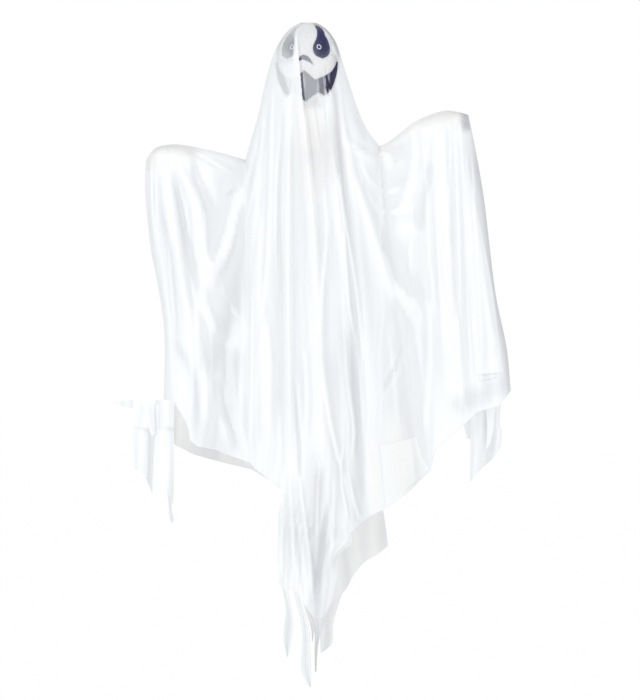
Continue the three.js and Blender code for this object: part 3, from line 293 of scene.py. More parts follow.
print("middle of a quarter arc:", np.round(through([[0, 0], [7, 3], [10, 10]])(0.5), 2))

# %% [markdown]
# ## The bell over head and body
# Seen from the front, the cloth follows the egg of the head until it can hang straight from it, then flares.
# From the side it does the same with a smaller flare. Between front and side the section is half an oval.

# %% Reach and depth of the bell
CORNER_SOFTNESS = 0.5


def tangent(flare):
    """Where cloth that flares so much for each millimetre of drop leaves the head."""
    angle = math.atan2(bell_width, bell_height * flare)
    return bell_height * (1 - math.cos(angle)), bell_width * math.sin(angle), angle


def egg(drop):
    share = (bell_height - drop) / bell_height
    return bell_width * np.sqrt(np.maximum(0, 1 - share * share))


def bell_reach(drop, name):
    drop = np.asarray(drop, float)
    flare, notch = NECK_FLARE[name], NOTCH_DROP[name]
    leave_drop, leave_reach, _ = tangent(flare)
    down = np.minimum(drop, notch)
    down_head = drop / HEAD_HEIGHT
    sling = NECK_SLING[name] * smoothstep(down_head, *SLING_RISE) * (1 - smoothstep(down_head, *SLING_FALL))
    spread = NECK_SPREAD[name] * np.maximum(0, (down - leave_drop) / (notch - leave_drop)) ** SPREAD_POWER
    hanging = leave_reach + flare * (down - leave_drop) + spread + BODY_FLARE * np.maximum(0, drop - notch)
    return sling + np.where(drop <= leave_drop, egg(drop), hanging)


def bell_depth(drop, flare):
    leave_drop, leave_reach, _ = tangent(flare)
    return np.where(drop > leave_drop, leave_reach + flare * (drop - leave_drop), egg(drop))


def soft_max(a, b):
    """The larger of two depths, with the corner between them rounded."""
    return (a + b + np.hypot(a - b, CORNER_SOFTNESS * np.minimum(a, b))) / 2


def roll(distance, length):
    """A quarter round: 0 at an edge, 1 from a length further in."""
    share = 1 - np.clip(distance, 0, length) / length
    return np.sqrt(1 - share * share)


print("half width at the notches:", bell_reach(251, "left").round(1), bell_reach(226, "right").round(1))

# %% [markdown]
# ## Folds
# A fold is a soft ridge along a path. Cloth that hangs gathers in ridges that are narrow at the top and wide
# at the foot, and one flank is steeper than the other. Between a neck and a raised hand it hangs in swags
# instead, which are the U-shaped paths. Each entry is a path, how far it stands out, and its half width: one
# number for a soft fold, or two, left and right, for a pleat with a steep flank.

# %% Tables of folds
FRONT_MAIN = [
    ([[-35, 130], [-35, 430], [-33, 840]], 17, 12),
    ([[-65, 129], [-84, 256], [-91, 420], [-84, 700]], 9, 11),
    ([[-10, 150], [9, 329], [18, 510], [25, 801]], 12, 12),
    ([[34, 150], [54, 329], [69, 511], [80, 800]], 10, 12),
    ([[56, 150], [80, 310], [98, 474], [113, 740]], 5, 11),
    ([[-52, 350], [-54, 760]], -9, 10),
    ([[-114, 262], [-127, 333], [-142, 402], [-173, 464]], 20, 14),
    ([[-233, 260], [-214, 297], [-200, 328], [-191, 375], [-188, 419], [-175, 468]], 16, 11),
    ([[-208, 470], [-172, 552], [-142, 588], [-122, 520]], 11, 18),
    ([[-256, 266], [-245, 342], [-228, 464], [-212, 560], [-208, 690]], 11, 11),
    ([[-269, 328], [-254, 402], [-243, 500], [-235, 650]], -9, 9),
    ([[85, 286], [109, 351], [138, 438], [184, 515], [207, 515]], 16, 16),
    ([[76, 222], [110, 248], [158, 250]], 12, 12),
    ([[222, 249], [211, 315], [196, 386]], -11, 13),
    ([[240, 202], [254, 420], [267, 693]], 10, 12),
    ([[280, 202], [297, 438], [312, 693]], 9, 11),
    ([[49, 329], [96, 520], [122, 660], [134, 760]], 8, (20, 24)),
]
FRONT_FINE = [
    ([[-75, 124], [-105, 262], [-127, 342], [-145, 433]], 6, (9, 6)),
    ([[-82, 171], [-84, 230], [-100, 313], [-116, 386]], 4, (4, 2.5)),
    ([[-69, 146], [-75, 197], [-82, 251], [-87, 342], [-98, 451]], -6, (6, 5)),
    ([[-65, 124], [-67, 197], [-69, 270], [-71, 342], [-75, 433], [-82, 524], [-87, 615]], 4, (2.5, 6)),
    ([[-44, 161], [-47, 233], [-51, 306], [-51, 379], [-47, 488], [-45, 615], [-45, 840]], -7, (4, 2.5)),
    ([[-25, 161], [-35, 233], [-38, 306], [-40, 397], [-38, 506], [-35, 615], [-33, 815]], 4, (2.5, 8)),
    ([[-20, 22], [-18, 56], [-15, 88], [-10, 146], [-4, 194], [1, 260], [9, 342], [15, 415], [18, 524]],
     6, (12, 2)),
    ([[29, 306], [33, 379], [27, 488], [25, 604], [31, 662], [40, 728], [56, 797], [80, 875]], 6, (4, 5)),
    ([[62, 488], [68, 604], [73, 662], [84, 739], [80, 793]], 5, (3, 2.5)),
    ([[36, 161], [38, 215], [58, 306], [76, 415], [89, 506], [100, 615]], 5, (3, 3)),
    ([[51, 215], [62, 324], [69, 433], [76, 524], [87, 588]], 4, (2.5, 2.5)),
    ([[58, 124], [67, 197], [75, 233], [87, 288], [109, 350], [131, 415], [149, 473], [189, 510]], 4, (8, 4)),
    ([[87, 164], [98, 193], [109, 219]], -9, (9, 8)),
    ([[76, 228], [95, 235], [124, 237], [153, 244]], 5, (3, 4)),
    ([[98, 261], [116, 295], [145, 311], [171, 299]], 5, (5, 6)),
    ([[105, 306], [127, 342], [160, 346], [182, 324]], 4, (6, 6)),
    ([[187, 193], [193, 244], [178, 324]], 5, (4, 5)),
    ([[276, 171], [280, 239], [284, 308], [287, 397], [291, 500], [298, 651]], 5, (5, 2.5)),
    ([[212, 200], [214, 300], [220, 420], [232, 560]], 3, (3, 3)),
    ([[228, 196], [230, 300], [236, 430], [246, 600]], 3.5, (3, 4)),
    ([[248, 190], [252, 320], [258, 450], [262, 640]], 3, (3, 3)),
    ([[266, 184], [270, 300], [274, 430], [278, 640]], 3.5, (4, 2.5)),
    ([[296, 190], [302, 320], [310, 480], [318, 640]], 3, (3, 4)),
    ([[190, 330], [186, 420], [196, 540], [210, 680]], 3, (3, 4)),
    ([[166, 420], [176, 520], [188, 640], [196, 720]], 3, (3, 3)),
    ([[146, 560], [156, 640], [164, 760]], 2.5, (3, 3)),
    ([[-300, 240], [-302, 330], [-292, 450], [-282, 600]], 3, (3, 3)),
    ([[-284, 232], [-284, 330], [-274, 450], [-262, 640]], 3.5, (3, 4)),
    ([[-266, 236], [-262, 330], [-250, 440], [-240, 600]], 3, (3, 3)),
    ([[-222, 300], [-216, 400], [-204, 520], [-196, 700]], 3, (3, 4)),
    ([[-186, 480], [-178, 560], [-172, 680], [-170, 740]], 3, (3, 3)),
    ([[-150, 520], [-146, 620], [-150, 740]], 3, (3, 4)),
    ([[-118, 460], [-120, 600], [-124, 760]], 3, (3, 3)),
    ([[-100, 480], [-102, 620], [-104, 770]], 2.5, (3, 3)),
    ([[258, 186], [258, 291], [256, 433]], 3.5, (3, 2.5)),
    ([[240, 215], [236, 361], [240, 506]], 3.5, (4, 3)),
    ([[291, 266], [313, 413], [325, 500], [344, 615]], 5, (8, 4)),
    ([[-205, 239], [-182, 251], [-156, 266], [-127, 275]], 5, (3, 4)),
    ([[-211, 246], [-200, 282], [-187, 321], [-169, 357]], -8, (7, 6)),
    ([[-151, 317], [-131, 306], [-116, 295]], -5, (3, 4)),
    ([[-245, 275], [-233, 328], [-224, 375], [-211, 433], [-196, 506]], -8, (6, 5)),
    ([[-264, 288], [-255, 351], [-247, 415]], 4, (3, 3)),
    ([[-287, 266], [-282, 357], [-269, 448], [-255, 539], [-251, 670]], 5, (4, 5)),
    ([[-276, 270], [-273, 379], [-258, 488]], 3.5, (3, 3)),
    ([[-156, 473], [-145, 506], [-127, 539]], 4, (4, 4)),
    ([[-164, 651], [-149, 710], [-127, 777]], -8, (8, 4)),
    ([[-84, 506], [-69, 615], [-73, 724], [-84, 815]], 5, (12, 8)),
    ([[-5, 597], [0, 688], [-4, 760]], 5, (7, 3)),
    ([[-27, 622], [-20, 720], [-15, 779], [-16, 851]], -5, (3, 3)),
    ([[22, 797], [18, 870], [16, 957]], 7, (3, 2)),
    ([[64, 773], [60, 824], [73, 906]], 5, (3, 2)),
    ([[73, 815], [87, 879], [95, 902]], 4, (3, 2)),
    ([[76, 560], [87, 688], [95, 797], [98, 897]], -8, (12, 8)),
    ([[178, 584], [162, 622], [131, 680]], -4, (4, 4)),
    ([[-31, 815], [-27, 924], [-22, 1006]], 5, (5, 2.5)),
    ([[-18, 800], [-5, 902], [7, 1002], [9, 1051]], 6, (6, 2.5)),
    ([[36, 870], [25, 960], [15, 1042]], -7, (7, 5)),
    ([[-45, 815], [-49, 942], [-44, 1015]], 4, (4, 5)),
    ([[47, 833], [44, 924], [36, 997]], 4, (4, 4)),
    ([[-138, 473], [-144, 579], [-136, 688], [-131, 742]], 4, (9, 9)),
    ([[-204, 506], [-189, 633], [-182, 742]], 5, (9, 7)),
    ([[222, 506], [218, 651], [211, 760]], 4, (7, 6)),
    ([[267, 506], [276, 633], [280, 706]], 4, (5, 4)),
]
BACK_RISE, BACK_WIDTH = 12, 13
BACK_MAIN = [
    ([[20 * k, 140], [38 * k, 420], [52 * k, 830]], BACK_RISE, BACK_WIDTH) for k in (-2, -1, 0, 1, 2)
]
BACK_FINE = [
    ([[12 * k + 5, 120], [24 * k + 9, 420], [33 * k + 4, 860]], 5, 5.5) for k in (-3, -2, -1, 0, 1, 2, 3)
]
for side in (-1, 1):
    BACK_MAIN += [
        ([[side * 130, 290], [side * 165, 400], [side * 205, 430], [side * 240, 300]],
         1.2 * BACK_RISE, 1.3 * BACK_WIDTH),
        ([[side * 255, 300], [side * 245, 640]], BACK_RISE, BACK_WIDTH),
    ]
    BACK_FINE += [
        ([[side * 135, 262], [side * 170, 330], [side * 205, 335], [side * 235, 262]], 7, 9),
        ([[side * 125, 350], [side * 150, 480], [side * 190, 560], [side * 215, 500]], 8, 12),
        ([[side * 275, 250], [side * 280, 640]], 6, 7),
        ([[side * 230, 330], [side * 215, 520], [side * 205, 720]], 7, 8),
        ([[side * 150, 520], [side * 150, 780]], 6, 9),
    ]
print("folds:", len(FRONT_MAIN) + len(FRONT_FINE), "in front,", len(BACK_MAIN) + len(BACK_FINE), "behind")


# %% Distance from a path, and the height of the folds
SOFT_FLANKS, TOP_WIDTH, FOOT_WIDTH, END_FADE = (1.3, 0.7), 0.75, 1.25, 5


def beside(path, x, drop):
    """How far each point is from the path, to its right if positive, and how far along it, from 0 to 1."""
    route = through(path)(np.linspace(0, 1, 6 * (len(path) - 1) + 1))
    nearest = np.full(np.shape(x), np.inf)
    along, sign = np.zeros_like(nearest), np.ones_like(nearest)
    for i, (a, b) in enumerate(zip(route[:-1], route[1:])):
        dx, dd = b - a
        share = np.clip(((x - a[0]) * dx + (drop - a[1]) * dd) / (dx * dx + dd * dd), 0, 1)
        off_x, off_d = x - a[0] - share * dx, drop - a[1] - share * dd
        away = np.hypot(off_x, off_d)
        closer = away < nearest
        nearest = np.where(closer, away, nearest)
        along = np.where(closer, (i + share) / (len(route) - 1), along)
        sign = np.where(closer, np.sign(dd * off_x - dx * off_d), sign)
    return sign * nearest, along


def fold_height(folds, x, drop):
    """The sum of all folds at each point; each fades at its two ends and widens on the way down."""
    height = np.zeros_like(x)
    for path, rise, width in folds:
        away, along = beside(path, x, drop)
        left, right = [flank * width for flank in SOFT_FLANKS] if np.isscalar(width) else width
        fade = np.minimum(1, END_FADE * np.minimum(along + 0.02, 1.02 - along))
        spread = np.where(away < 0, left, right) * lerp(TOP_WIDTH, FOOT_WIDTH, along)
        height += rise * fade * np.exp(-((away / spread) ** 2))
    return height


on_path = fold_height(FRONT_MAIN[:1], np.array([-35.0]), np.array([430.0]))
print("a ridge's height on its path:", on_path.round(1))


# %% Depth of the cloth
CRINKLE_RISE, CRINKLE_START = 0.22, (110, 260)
ARM_START, FOLD_EASE = (0.1, 0.5), 12


def crinkle(x, drop, scale):
    """Small long wrinkles that run down the cloth, a few millimetres apart and never quite regular."""
    wander = 3 * np.sin(drop / 61 + x / 37) + 2 * np.sin(drop / 23 + x / 19)
    waves = np.sin((x + wander) / 1.9) + 0.8 * np.sin((x + 1.7 * wander) / 3.1 + 1.3)
    slow = 0.5 + 0.5 * np.sin(drop / 83 + x / 29 + 2)
    return scale * waves * slow


def cloth_depth(face, x, drop, below, edge, out):
    """The depth at each point, where below is the drop under the ridge that carries the cloth, edge is the
    distance to the outer edge, and out runs from 0 at the neck to 1 at the fingertips."""
    front = face < 0
    reach = np.where(x < 0, bell_reach(drop, "left"), bell_reach(drop, "right"))
    share = np.minimum(1, np.abs(x) / reach)
    bell = bell_depth(drop, FRONT_FLARE if front else BACK_FLARE) * np.sqrt(1 - share * share)
    arm = lerp(ELBOW_HALF_DEPTH, HAND_HALF_DEPTH, smoothstep(out, *ARM_START))
    swell = WING_SWELL * (1 - np.exp(-below / SWELL_DROP))
    wing = (arm + swell) * roll(below, ROLL_HEIGHT) * roll(edge, EDGE_ROLL)
    smooth = soft_max(bell, wing)
    folds = fold_height((FRONT_MAIN + FRONT_FINE) if front else (BACK_MAIN + BACK_FINE), x, drop)
    folds = folds + crinkle(x, drop, CRINKLE_RISE) * smoothstep(drop, *CRINKLE_START)
    return smooth + folds * smooth / (smooth + FOLD_EASE)


chest = cloth_depth(-1, np.array([0.0]), np.array([400.0]), 0, EDGE_ROLL, 0)
print("depth at the chest:", chest.round(1), "mm")

# %% [markdown]
# ## From points to a sheet
# The gown is one skin: its panels share the points along their seams. A panel is a list of rows of points, and
# neighbouring rows make four-sided faces. Each piece of the gown collects its panels, joins what they share,
# and carries three values at every point: how closely the cloth covers, how much painted shade greys its colour
# (one layer over the shaded inside, the inside of the back, and the valleys between folds), and how warm it
# looks (where foam shows through it, and a painted glow where light shines through it). Valleys are told
# from the mean depth beside, at two widths.

# %% The sheet builder
HEM_RADIUS, HEM_SIDES = 0.5, 6
# Painted shade in valleys: for each width in columns, the depth below the mean that counts fully, and the share
# of painted shade it adds.
VALLEY_SHADE_SCALES = ((5, 1.0, 0.13), (20, 6.0, 0.08))


def rows_of(x, drop, depth, face, cover):
    """A patch of points as one array: x, depth, height in millimetres, and the cover value."""
    x, drop, depth, cover = np.broadcast_arrays(x, drop, depth, cover)
    return np.stack([x, face * depth, crown_top - drop, cover], axis=-1)


def valley_of(depth):
    """Painted shade in the valleys between folds, from how far each point lies below the mean depth beside it;
    less than 0 on a ridge, which is a painted highlight.
    """
    total = np.zeros_like(depth)
    for columns, deep, share in VALLEY_SHADE_SCALES:
        columns = min(columns, depth.shape[1] - 1)
        padded = np.pad(depth, ((0, 0), (columns, columns)), mode="reflect", reflect_type="odd")
        running = np.cumsum(np.pad(padded, ((0, 0), (1, 0))), axis=1)
        width = 2 * columns + 1
        mean = (running[:, width:] - running[:, :-width]) / width
        total += share * np.clip((mean - depth) / deep, -1, 1)
    return total


class Cloth:
    """A piece of cloth made of patches that share their border points."""

    def __init__(self, name):
        self.name = name
        self.points, self.cover, self.valley, self.faces, self.fixed = [], [], [], [], []
        self.index = {}

    def corner(self, row, valley):
        key = tuple(np.round(row[:3], 2))
        if key not in self.index:
            self.index[key] = len(self.points)
            self.points.append(row[:3])
            self.cover.append(row[3])
            self.valley.append(valley)
        return self.index[key]

    def patch(self, rows, outward, thin=None):
        """rows is an array [down, across]; outward is 1 where across runs to the right of someone in front."""
        before = len(self.points)
        valleys = valley_of(np.abs(rows[..., 1]))
        ids = np.array([[self.corner(*pair) for pair in zip(*line)] for line in zip(rows, valleys)])
        for upper, lower in zip(ids[:-1], ids[1:]):
            for k in range(len(upper) - 1):
                ring = [upper[k], lower[k], lower[k + 1], upper[k + 1]]
                if outward < 0:
                    ring.reverse()
                ring = [v for i, v in enumerate(ring) if v != ring[i - 1]]
                if len(ring) > 2:
                    self.faces.append(ring)
        if thin is not None:
            self.fixed.append((before, len(self.points), thin))

    def hem(self, rows, radius=HEM_RADIUS):
        """A rolled hem: a thin tube along a row of points."""
        centres = np.array([row[:3] for row in rows])
        along = np.gradient(centres, axis=0)
        along /= np.maximum(1e-6, np.linalg.norm(along, axis=1, keepdims=True))
        side = np.cross(along, (0, 1, 0))
        side /= np.maximum(1e-6, np.linalg.norm(side, axis=1, keepdims=True))
        other = np.cross(along, side)
        rings = []
        for turn in 2 * np.pi * np.arange(HEM_SIDES) / HEM_SIDES:
            place = centres + radius * (math.cos(turn) * side + math.sin(turn) * other)
            rings.append(range(len(self.points), len(self.points) + len(place)))
            self.points.extend(place)
            self.cover.extend([1.0] * len(place))
            self.valley.extend([0.0] * len(place))
        for a, b in zip(rings, rings[1:] + rings[:1]):
            self.faces.extend([a[k], a[k + 1], b[k + 1], b[k]] for k in range(len(a) - 1))

    def make(self):
        made = new_piece(self.name, [tuple(MM * value for value in p) for p in self.points], self.faces)
        mesh = made.data
        mesh.validate()
        place = np.array([tuple(p) for p in self.points])
        # Painted shade: the bands' value or a layer's fixed value, plus the painted shade of the valleys.
        thin, warmth_and_glow = tone_at(place[:, 0], place[:, 1], crown_top - place[:, 2])
        for first, last, value in self.fixed:
            thin[first:last] = value
        thin = np.clip(thin + np.array(self.valley), 0, 1)
        for word, values in (("cover", self.cover), ("thin", thin), ("warmth_and_glow", warmth_and_glow)):
            attribute = mesh.attributes.new(word, "FLOAT", "POINT")
            attribute.data.foreach_set("value", np.array(values, np.float32))
        return made


def area_of(piece):
    return sum(face.area for face in piece.data.polygons)


print("sheet builder ready")

# %% [markdown]
# ## How closely the cloth covers
# The cloth is thin voile. One layer straight in front of something close, such as the face, lets it show;
# the same cloth further from what is behind it looks white, because it scatters the light. Folded layers
# cover best. So the cover is low over the face and the neck, middling where a hand presses from inside, and
# high everywhere else, and each bunched fold over the face adds to it.

# %% Cover of the cloth
COVER_BODY, COVER_NECK, COVER_HAND = 0.94, 0.8, 0.8
FACE_FADE, FACE_MIDDLE, FACE_HALF = (160, 215), 1, (55, 62)
NECK_START, NECK_FADE, NECK_MIDDLE, NECK_HALF = (60, 130), (240, 330), 26, (24, 46)
HAND_START, HAND_FADE = (0.55, 0.72), (12, 45)
COVER_SPOTS = np.array([
    [12, 50, 0.06], [20, 42, 0.03], [24, 60, 0.03], [34, 50, 0], [36, 40, 0], [26, 26, 0], [18, 10, 0.02],
    [52, 40, 0.5], [52, 60, 0.5], [-36, 50, 0.46], [-36, 30, 0.5], [-27, 50, 0.3], [-30, 14, 0.64],
    [-44, 60, 0.6], [0, 32, 0.3], [2, 8, 0.4], [4, 64, 0.3], [4, 84, 0.4], [30, 80, 0.3],
    [-44, 96, 0.8], [-30, 100, 0.9], [-30, 118, 0.9], [-40, 140, 0.94], [-52, 140, 0.94], [-25, 145, 0.94],
    [0, 150, 0.66], [22, 145, 0.7], [40, 150, 0.9], [14, 175, 0.85], [-30, 180, 0.94], [56, 110, 0.9],
    [58, 150, 0.94], [45, 180, 0.9],
])
SPOT_REACH = 11
PLEAT_FAR, PLEAT_SHARP = 34, 0.4
STREAKS = [
    ([[6, 82], [6, 156]], 17, 16, 0.4),
    ([[25, 82], [26, 139]], 8, 7, 0.22),
    ([[54, 60], [50, 98], [40, 131]], 16, 4, 0.02),
    ([[-56, 72], [-51, 98], [-43, 122], [-36, 140]], 8, 9, 0.68),
    ([[-33, 100], [-31, 136]], 2.4, 2.4, 0.84),
    ([[32, 84], [36.5, 137]], 3, 3, 0.02),
    ([[27, 96], [31, 140]], 1, 1, 0.45),
    ([[34, 84], [39, 112]], 1.6, 2, 0.3),
    # These two streaks let the dark inside show through as a painted shadow line along the edge of the main
    # pleat.
    ([[-14, 76], [-7, 154]], 3.4, 3.4, 0.12),
    ([[-16, 64], [-13, 76]], 3, 3, 0.06),
    ([[-20, 20], [-18, 56], [-15, 88], [-10, 146], [-4, 210]], (3, PLEAT_FAR), PLEAT_SHARP, 0.93),
    ([[44, 40], [62, 71], [67, 102], [79, 146], [92, 230]], (9, 12), PLEAT_SHARP, 0.93),
]


def band(path, left, right, x, drop):
    """1 near a path, 0 beyond its reaches to the left and right; the left reach may grow down the path."""
    away, along = beside(path, x, drop)
    left = left if np.isscalar(left) else lerp(left[0], left[1], along)
    inside = smoothstep(away, -left, -0.5 * left) * (1 - smoothstep(away, 0.5 * right, right))
    return inside * np.clip(12 * np.minimum(along, 1 - along), 0, 1)


def soft_band(path, left, right, x, drop):
    """A band with no edge at all: for tints that fade away to both sides and to both ends."""
    away, along = beside(path, x, drop)
    across = np.exp(-2 * (away / np.where(away < 0, left, right)) ** 2)
    return across * smoothstep(4 * np.minimum(along, 1 - along), 0, 1)


def cover_at(face, x, drop, out=0.0, below=1e3):
    """The cover over the body, thinned by the spots over face and neck, with a streak for each thin pleat."""
    if face > 0:
        return np.full(np.shape(x), COVER_BODY)
    near_face = (1 - smoothstep(drop, *FACE_FADE)) * (1 - smoothstep(np.abs(x - FACE_MIDDLE), *FACE_HALF))
    near_neck = (1 - smoothstep(drop, *NECK_FADE)) * (1 - smoothstep(np.abs(x - NECK_MIDDLE), *NECK_HALF))
    near_neck = near_neck * smoothstep(drop, *NECK_START)
    apart = np.hypot(x[..., None] - COVER_SPOTS[:, 0], drop[..., None] - COVER_SPOTS[:, 1])
    weight = np.exp(-((apart / SPOT_REACH) ** 2)) + 1e-9 / (1 + apart)
    spots = (weight * COVER_SPOTS[:, 2]).sum(axis=-1) / weight.sum(axis=-1)
    value = lerp(lerp(COVER_BODY, COVER_NECK, near_neck), spots, near_face)
    for path, left, right, density in STREAKS:
        value = lerp(value, density, band(path, left, right, x, drop))
    on_hand = smoothstep(out, *HAND_START) * (1 - smoothstep(below, *HAND_FADE))
    return np.clip(lerp(value, COVER_HAND, on_hand), 0, COVER_BODY)


print("cover over the chin:", cover_at(-1, np.array([10.0]), np.array([120.0])).round(2))

# %% Painted shade, painted ridge highlight and warm places
# Painted shade. Among these bands are one layer hanging over the shaded inside, the right edge's flank turned
# from the lamp, the shadows beside both hands and below the mouth, and the crown's shaded right edge.
PAINTED_SHADE_BANDS = [
    ([[40, 120], [54, 230], [74, 360], [86, 505], [90, 688], [94, 885], [90, 980]], 44, 24, 0.3),
    ([[66, 440], [78, 620], [86, 760], [90, 895], [88, 1000]], 40, 30, 0.34),
    ([[10, 700], [14, 860], [24, 980], [30, 1120], [24, 1220]], 36, 40, 0.3),
    ([[-168, 240], [-172, 330], [-160, 440], [-130, 520]], 34, 30, 0.14),
    ([[-112, 400], [-136, 520], [-168, 600], [-186, 660]], 36, 34, 0.22),
    ([[-232, 230], [-230, 330], [-222, 450], [-214, 600]], 26, 26, 0.2),
    ([[-150, 560], [-140, 640], [-140, 760]], 26, 26, 0.24),
    ([[-330, 236], [-285, 226], [-248, 229], [-215, 236], [-180, 246]], 18, 20, 0.42),
    ([[-250, 560], [-206, 650], [-205, 790]], 16, 12, 0.3),
    ([[298, 60], [306, 237], [321, 324], [343, 502], [363, 601], [370, 675], [372, 820]], 19, 60, 0.74),
    ([[250, 712], [300, 684], [345, 664], [392, 640]], 32, 34, 0.34),
    ([[0, 1], [20, 8], [38, 24], [51, 48], [60, 90]], 5, 5, 1.0),
    ([[-2, 150], [6, 230], [14, 330]], 3, 2, 0.3),
    ([[10, 136], [18, 190], [28, 250]], 4, 2, 0.3),
    ([[27, 130], [36, 220], [54, 350]], 2, 5, 0.34),
    ([[40, 90], [50, 150], [56, 220], [72, 380]], 9, 9, 0.55),
    ([[50, 520], [52, 700], [52, 860], [46, 1000]], 26, 22, 0.28),
    ([[190, 196], [240, 176], [300, 160]], 14, 22, 0.26),
    ([[-24, 880], [-14, 980], [-6, 1060]], 6, 4, 0.3),
    ([[2, 860], [8, 960], [16, 1060], [22, 1220]], 16, 30, 0.42),
    ([[280, 140], [285, 168], [290, 210]], 15, 20, 0.95),
]
# Painted highlight: along these two gathered ridges the least painted shade is left off, so they read whiter.
RIDGE_HIGHLIGHT_BANDS = [
    ([[-44, 130], [-48, 300], [-40, 600], [-40, 900]], 30, 34),
    ([[70, 200], [112, 350], [142, 480], [170, 640], [186, 760]], 22, 40),
]
# The least painted shade, which greys the rest of the front a little.
LEAST_PAINTED_SHADE = 0.06
# Warm bands: over the hands the cream foam shows through the cloth; the two lower bands warm the cloth near the
# right hem.
WARM_BANDS = [
    ([[-330, 226], [-262, 222], [-190, 236]], 26, 20, 0.7),
    ([[170, 196], [240, 166], [310, 152]], 26, 22, 0.7),
    ([[110, 740], [118, 830], [120, 930]], 18, 18, 0.4),
    ([[160, 700], [170, 810], [176, 930]], 40, 50, 0.4),
]
# Behind, the back panel, seen from inside, gets painted shade and a painted glow of light coming through it.
BACK_GLOW, BACK_PAINTED_SHADE, BACK_START = 0.5, 0.12, (-6, 24)


def tone_at(x, depth, drop):
    """How much painted shade and how much warmth each point gets; the back panel, seen from inside, gets
    painted shade and a painted glow of light from behind.
    """
    behind = smoothstep(depth, *BACK_START)
    thin, warmth_and_glow = BACK_PAINTED_SHADE * behind, BACK_GLOW * behind
    ridge_highlight = sum(soft_band(path, left, right, x, drop) for path, left, right in RIDGE_HIGHLIGHT_BANDS)
    thin = thin + LEAST_PAINTED_SHADE * (1 - np.minimum(1, ridge_highlight))
    for path, left, right, share in PAINTED_SHADE_BANDS:
        thin = np.maximum(thin, (1 - behind) * share * soft_band(path, left, right, x, drop))
    for path, left, right, share in WARM_BANDS:
        warmth_and_glow = np.maximum(warmth_and_glow, (1 - behind) * share * soft_band(path, left, right, x, drop))
    return thin, warmth_and_glow


print("thin over the belly:", tone_at(np.array([80.0]), np.array([-50.0]), np.array([400.0]))[0].round(2))

# %% [markdown]
# ## The middle of the gown
# Front and back middle share the two side lines of the bell and hang from the crown. Rows near the crown are
# close, because the cloth bends most there; each row ends on the same side points in front and behind.

# %% Grids
FRONT_COLUMNS, BACK_COLUMNS, WING_COLUMNS = 176, 88, 104
CROWN_ROWS, NECK_ROWS, ROLL_ROWS, HANG_ROWS = 28, 44, 10, 110
ROLL_SHARE, CLOSER_AT_ROLL, CLOSER_AT_NECK = 0.024, 1.7, 1.5
EYELET_EDGE = 1.7 * EYELET_RADIUS

roll_rows = ROLL_SHARE * (np.arange(ROLL_ROWS + 1) / ROLL_ROWS) ** CLOSER_AT_ROLL
hang_rows = lerp(ROLL_SHARE, 1, np.arange(1, HANG_ROWS + 1) / HANG_ROWS)
hang_shares = np.concatenate([roll_rows, hang_rows])
print("rows from ridge to hem:", len(hang_shares))


# %% Seams and the middle panels
def seam(face, side, share):
    name = "left" if side < 0 else "right"
    foot_x, foot_drop = (FRONT_HEM if face < 0 else BACK_HEM)[name][0]
    return (
        side * lerp(float(bell_reach(NOTCH_DROP[name], name)), foot_x, share),
        lerp(NOTCH_DROP[name], foot_drop, share),
    )


def middle_panel(face, columns):
    across = np.arange(columns + 1) / columns
    turn = np.sin(np.radians(180 * across - 90))
    hem = np.array(CENTRE_HEM["front" if face < 0 else "back"], float)
    leave = {name: tangent(NECK_FLARE[name]) for name in ("left", "right")}
    notch = lerp(NOTCH_DROP["left"], NOTCH_DROP["right"], across)
    first = math.asin(EYELET_RADIUS / bell_width)
    last = lerp(leave["left"][2], leave["right"][2], across)
    leave_drop = lerp(leave["left"][0], leave["right"][0], across)
    rows = []
    for i in range(CROWN_ROWS + NECK_ROWS + 1):
        if i <= CROWN_ROWS:
            drop = bell_height * (1 - np.cos(lerp(first, last, i / CROWN_ROWS)))
        else:
            drop = lerp(leave_drop, notch, ((i - CROWN_ROWS) / NECK_ROWS) ** CLOSER_AT_NECK)
        x = turn * np.where(turn < 0, bell_reach(drop, "left"), bell_reach(drop, "right"))
        depth = cloth_depth(face, x, drop, 0, EDGE_ROLL, 0)
        depth[[0, -1]] = 0
        sink = EYELET_SINK * (1 - smoothstep(np.hypot(x, depth), EYELET_RADIUS, EYELET_EDGE))
        rows.append(rows_of(x, drop + sink, depth, face, cover_at(face, x, drop)))
    top_x = rows[-1][:, 0]
    foot = lerp(seam(face, -1, 1)[0], seam(face, 1, 1)[0], across)
    hem_drop = np.interp(foot, hem[:, 0], hem[:, 1])
    for share in hang_shares[1:]:
        x, drop = lerp(top_x, foot, share), lerp(notch, hem_drop, share)
        below = np.maximum(0, drop - notch - (1 - np.abs(2 * across - 1)) * MIDDLE_SWELL_DELAY)
        depth = cloth_depth(face, x, drop, below, EDGE_ROLL, 0)
        rows.append(rows_of(x, drop, depth, face, cover_at(face, x, drop)))
    return np.array(rows)


front_middle = middle_panel(-1, FRONT_COLUMNS)
back_middle = middle_panel(1, BACK_COLUMNS)
print("middle panels:", front_middle.shape[:2], back_middle.shape[:2])

# %% [markdown]
# ## The wings
# Over each arm the cloth makes a ridge: from the neck, along the forearm, over the palm and round the fingers.
# Front and back hang from it, and meet again along the outer edge under the fingertips. Each face is a patch
# between four curves: the seam, the outer edge, the ridge and the hem.

# %% The ridge over an arm
FINGER_LIFT = {"left": (0, 0, 0, 0, 0, 0, 0), "right": (0, 0, 0, 2.5, 6, 6, 5)}
SLEEVE_SHARE, PALM_SHARE, FINGER_SHARES = 0.45, 0.6, (0.35, 0.75)
BEFORE_WRIST, BEFORE_KNUCKLE = 4, 6


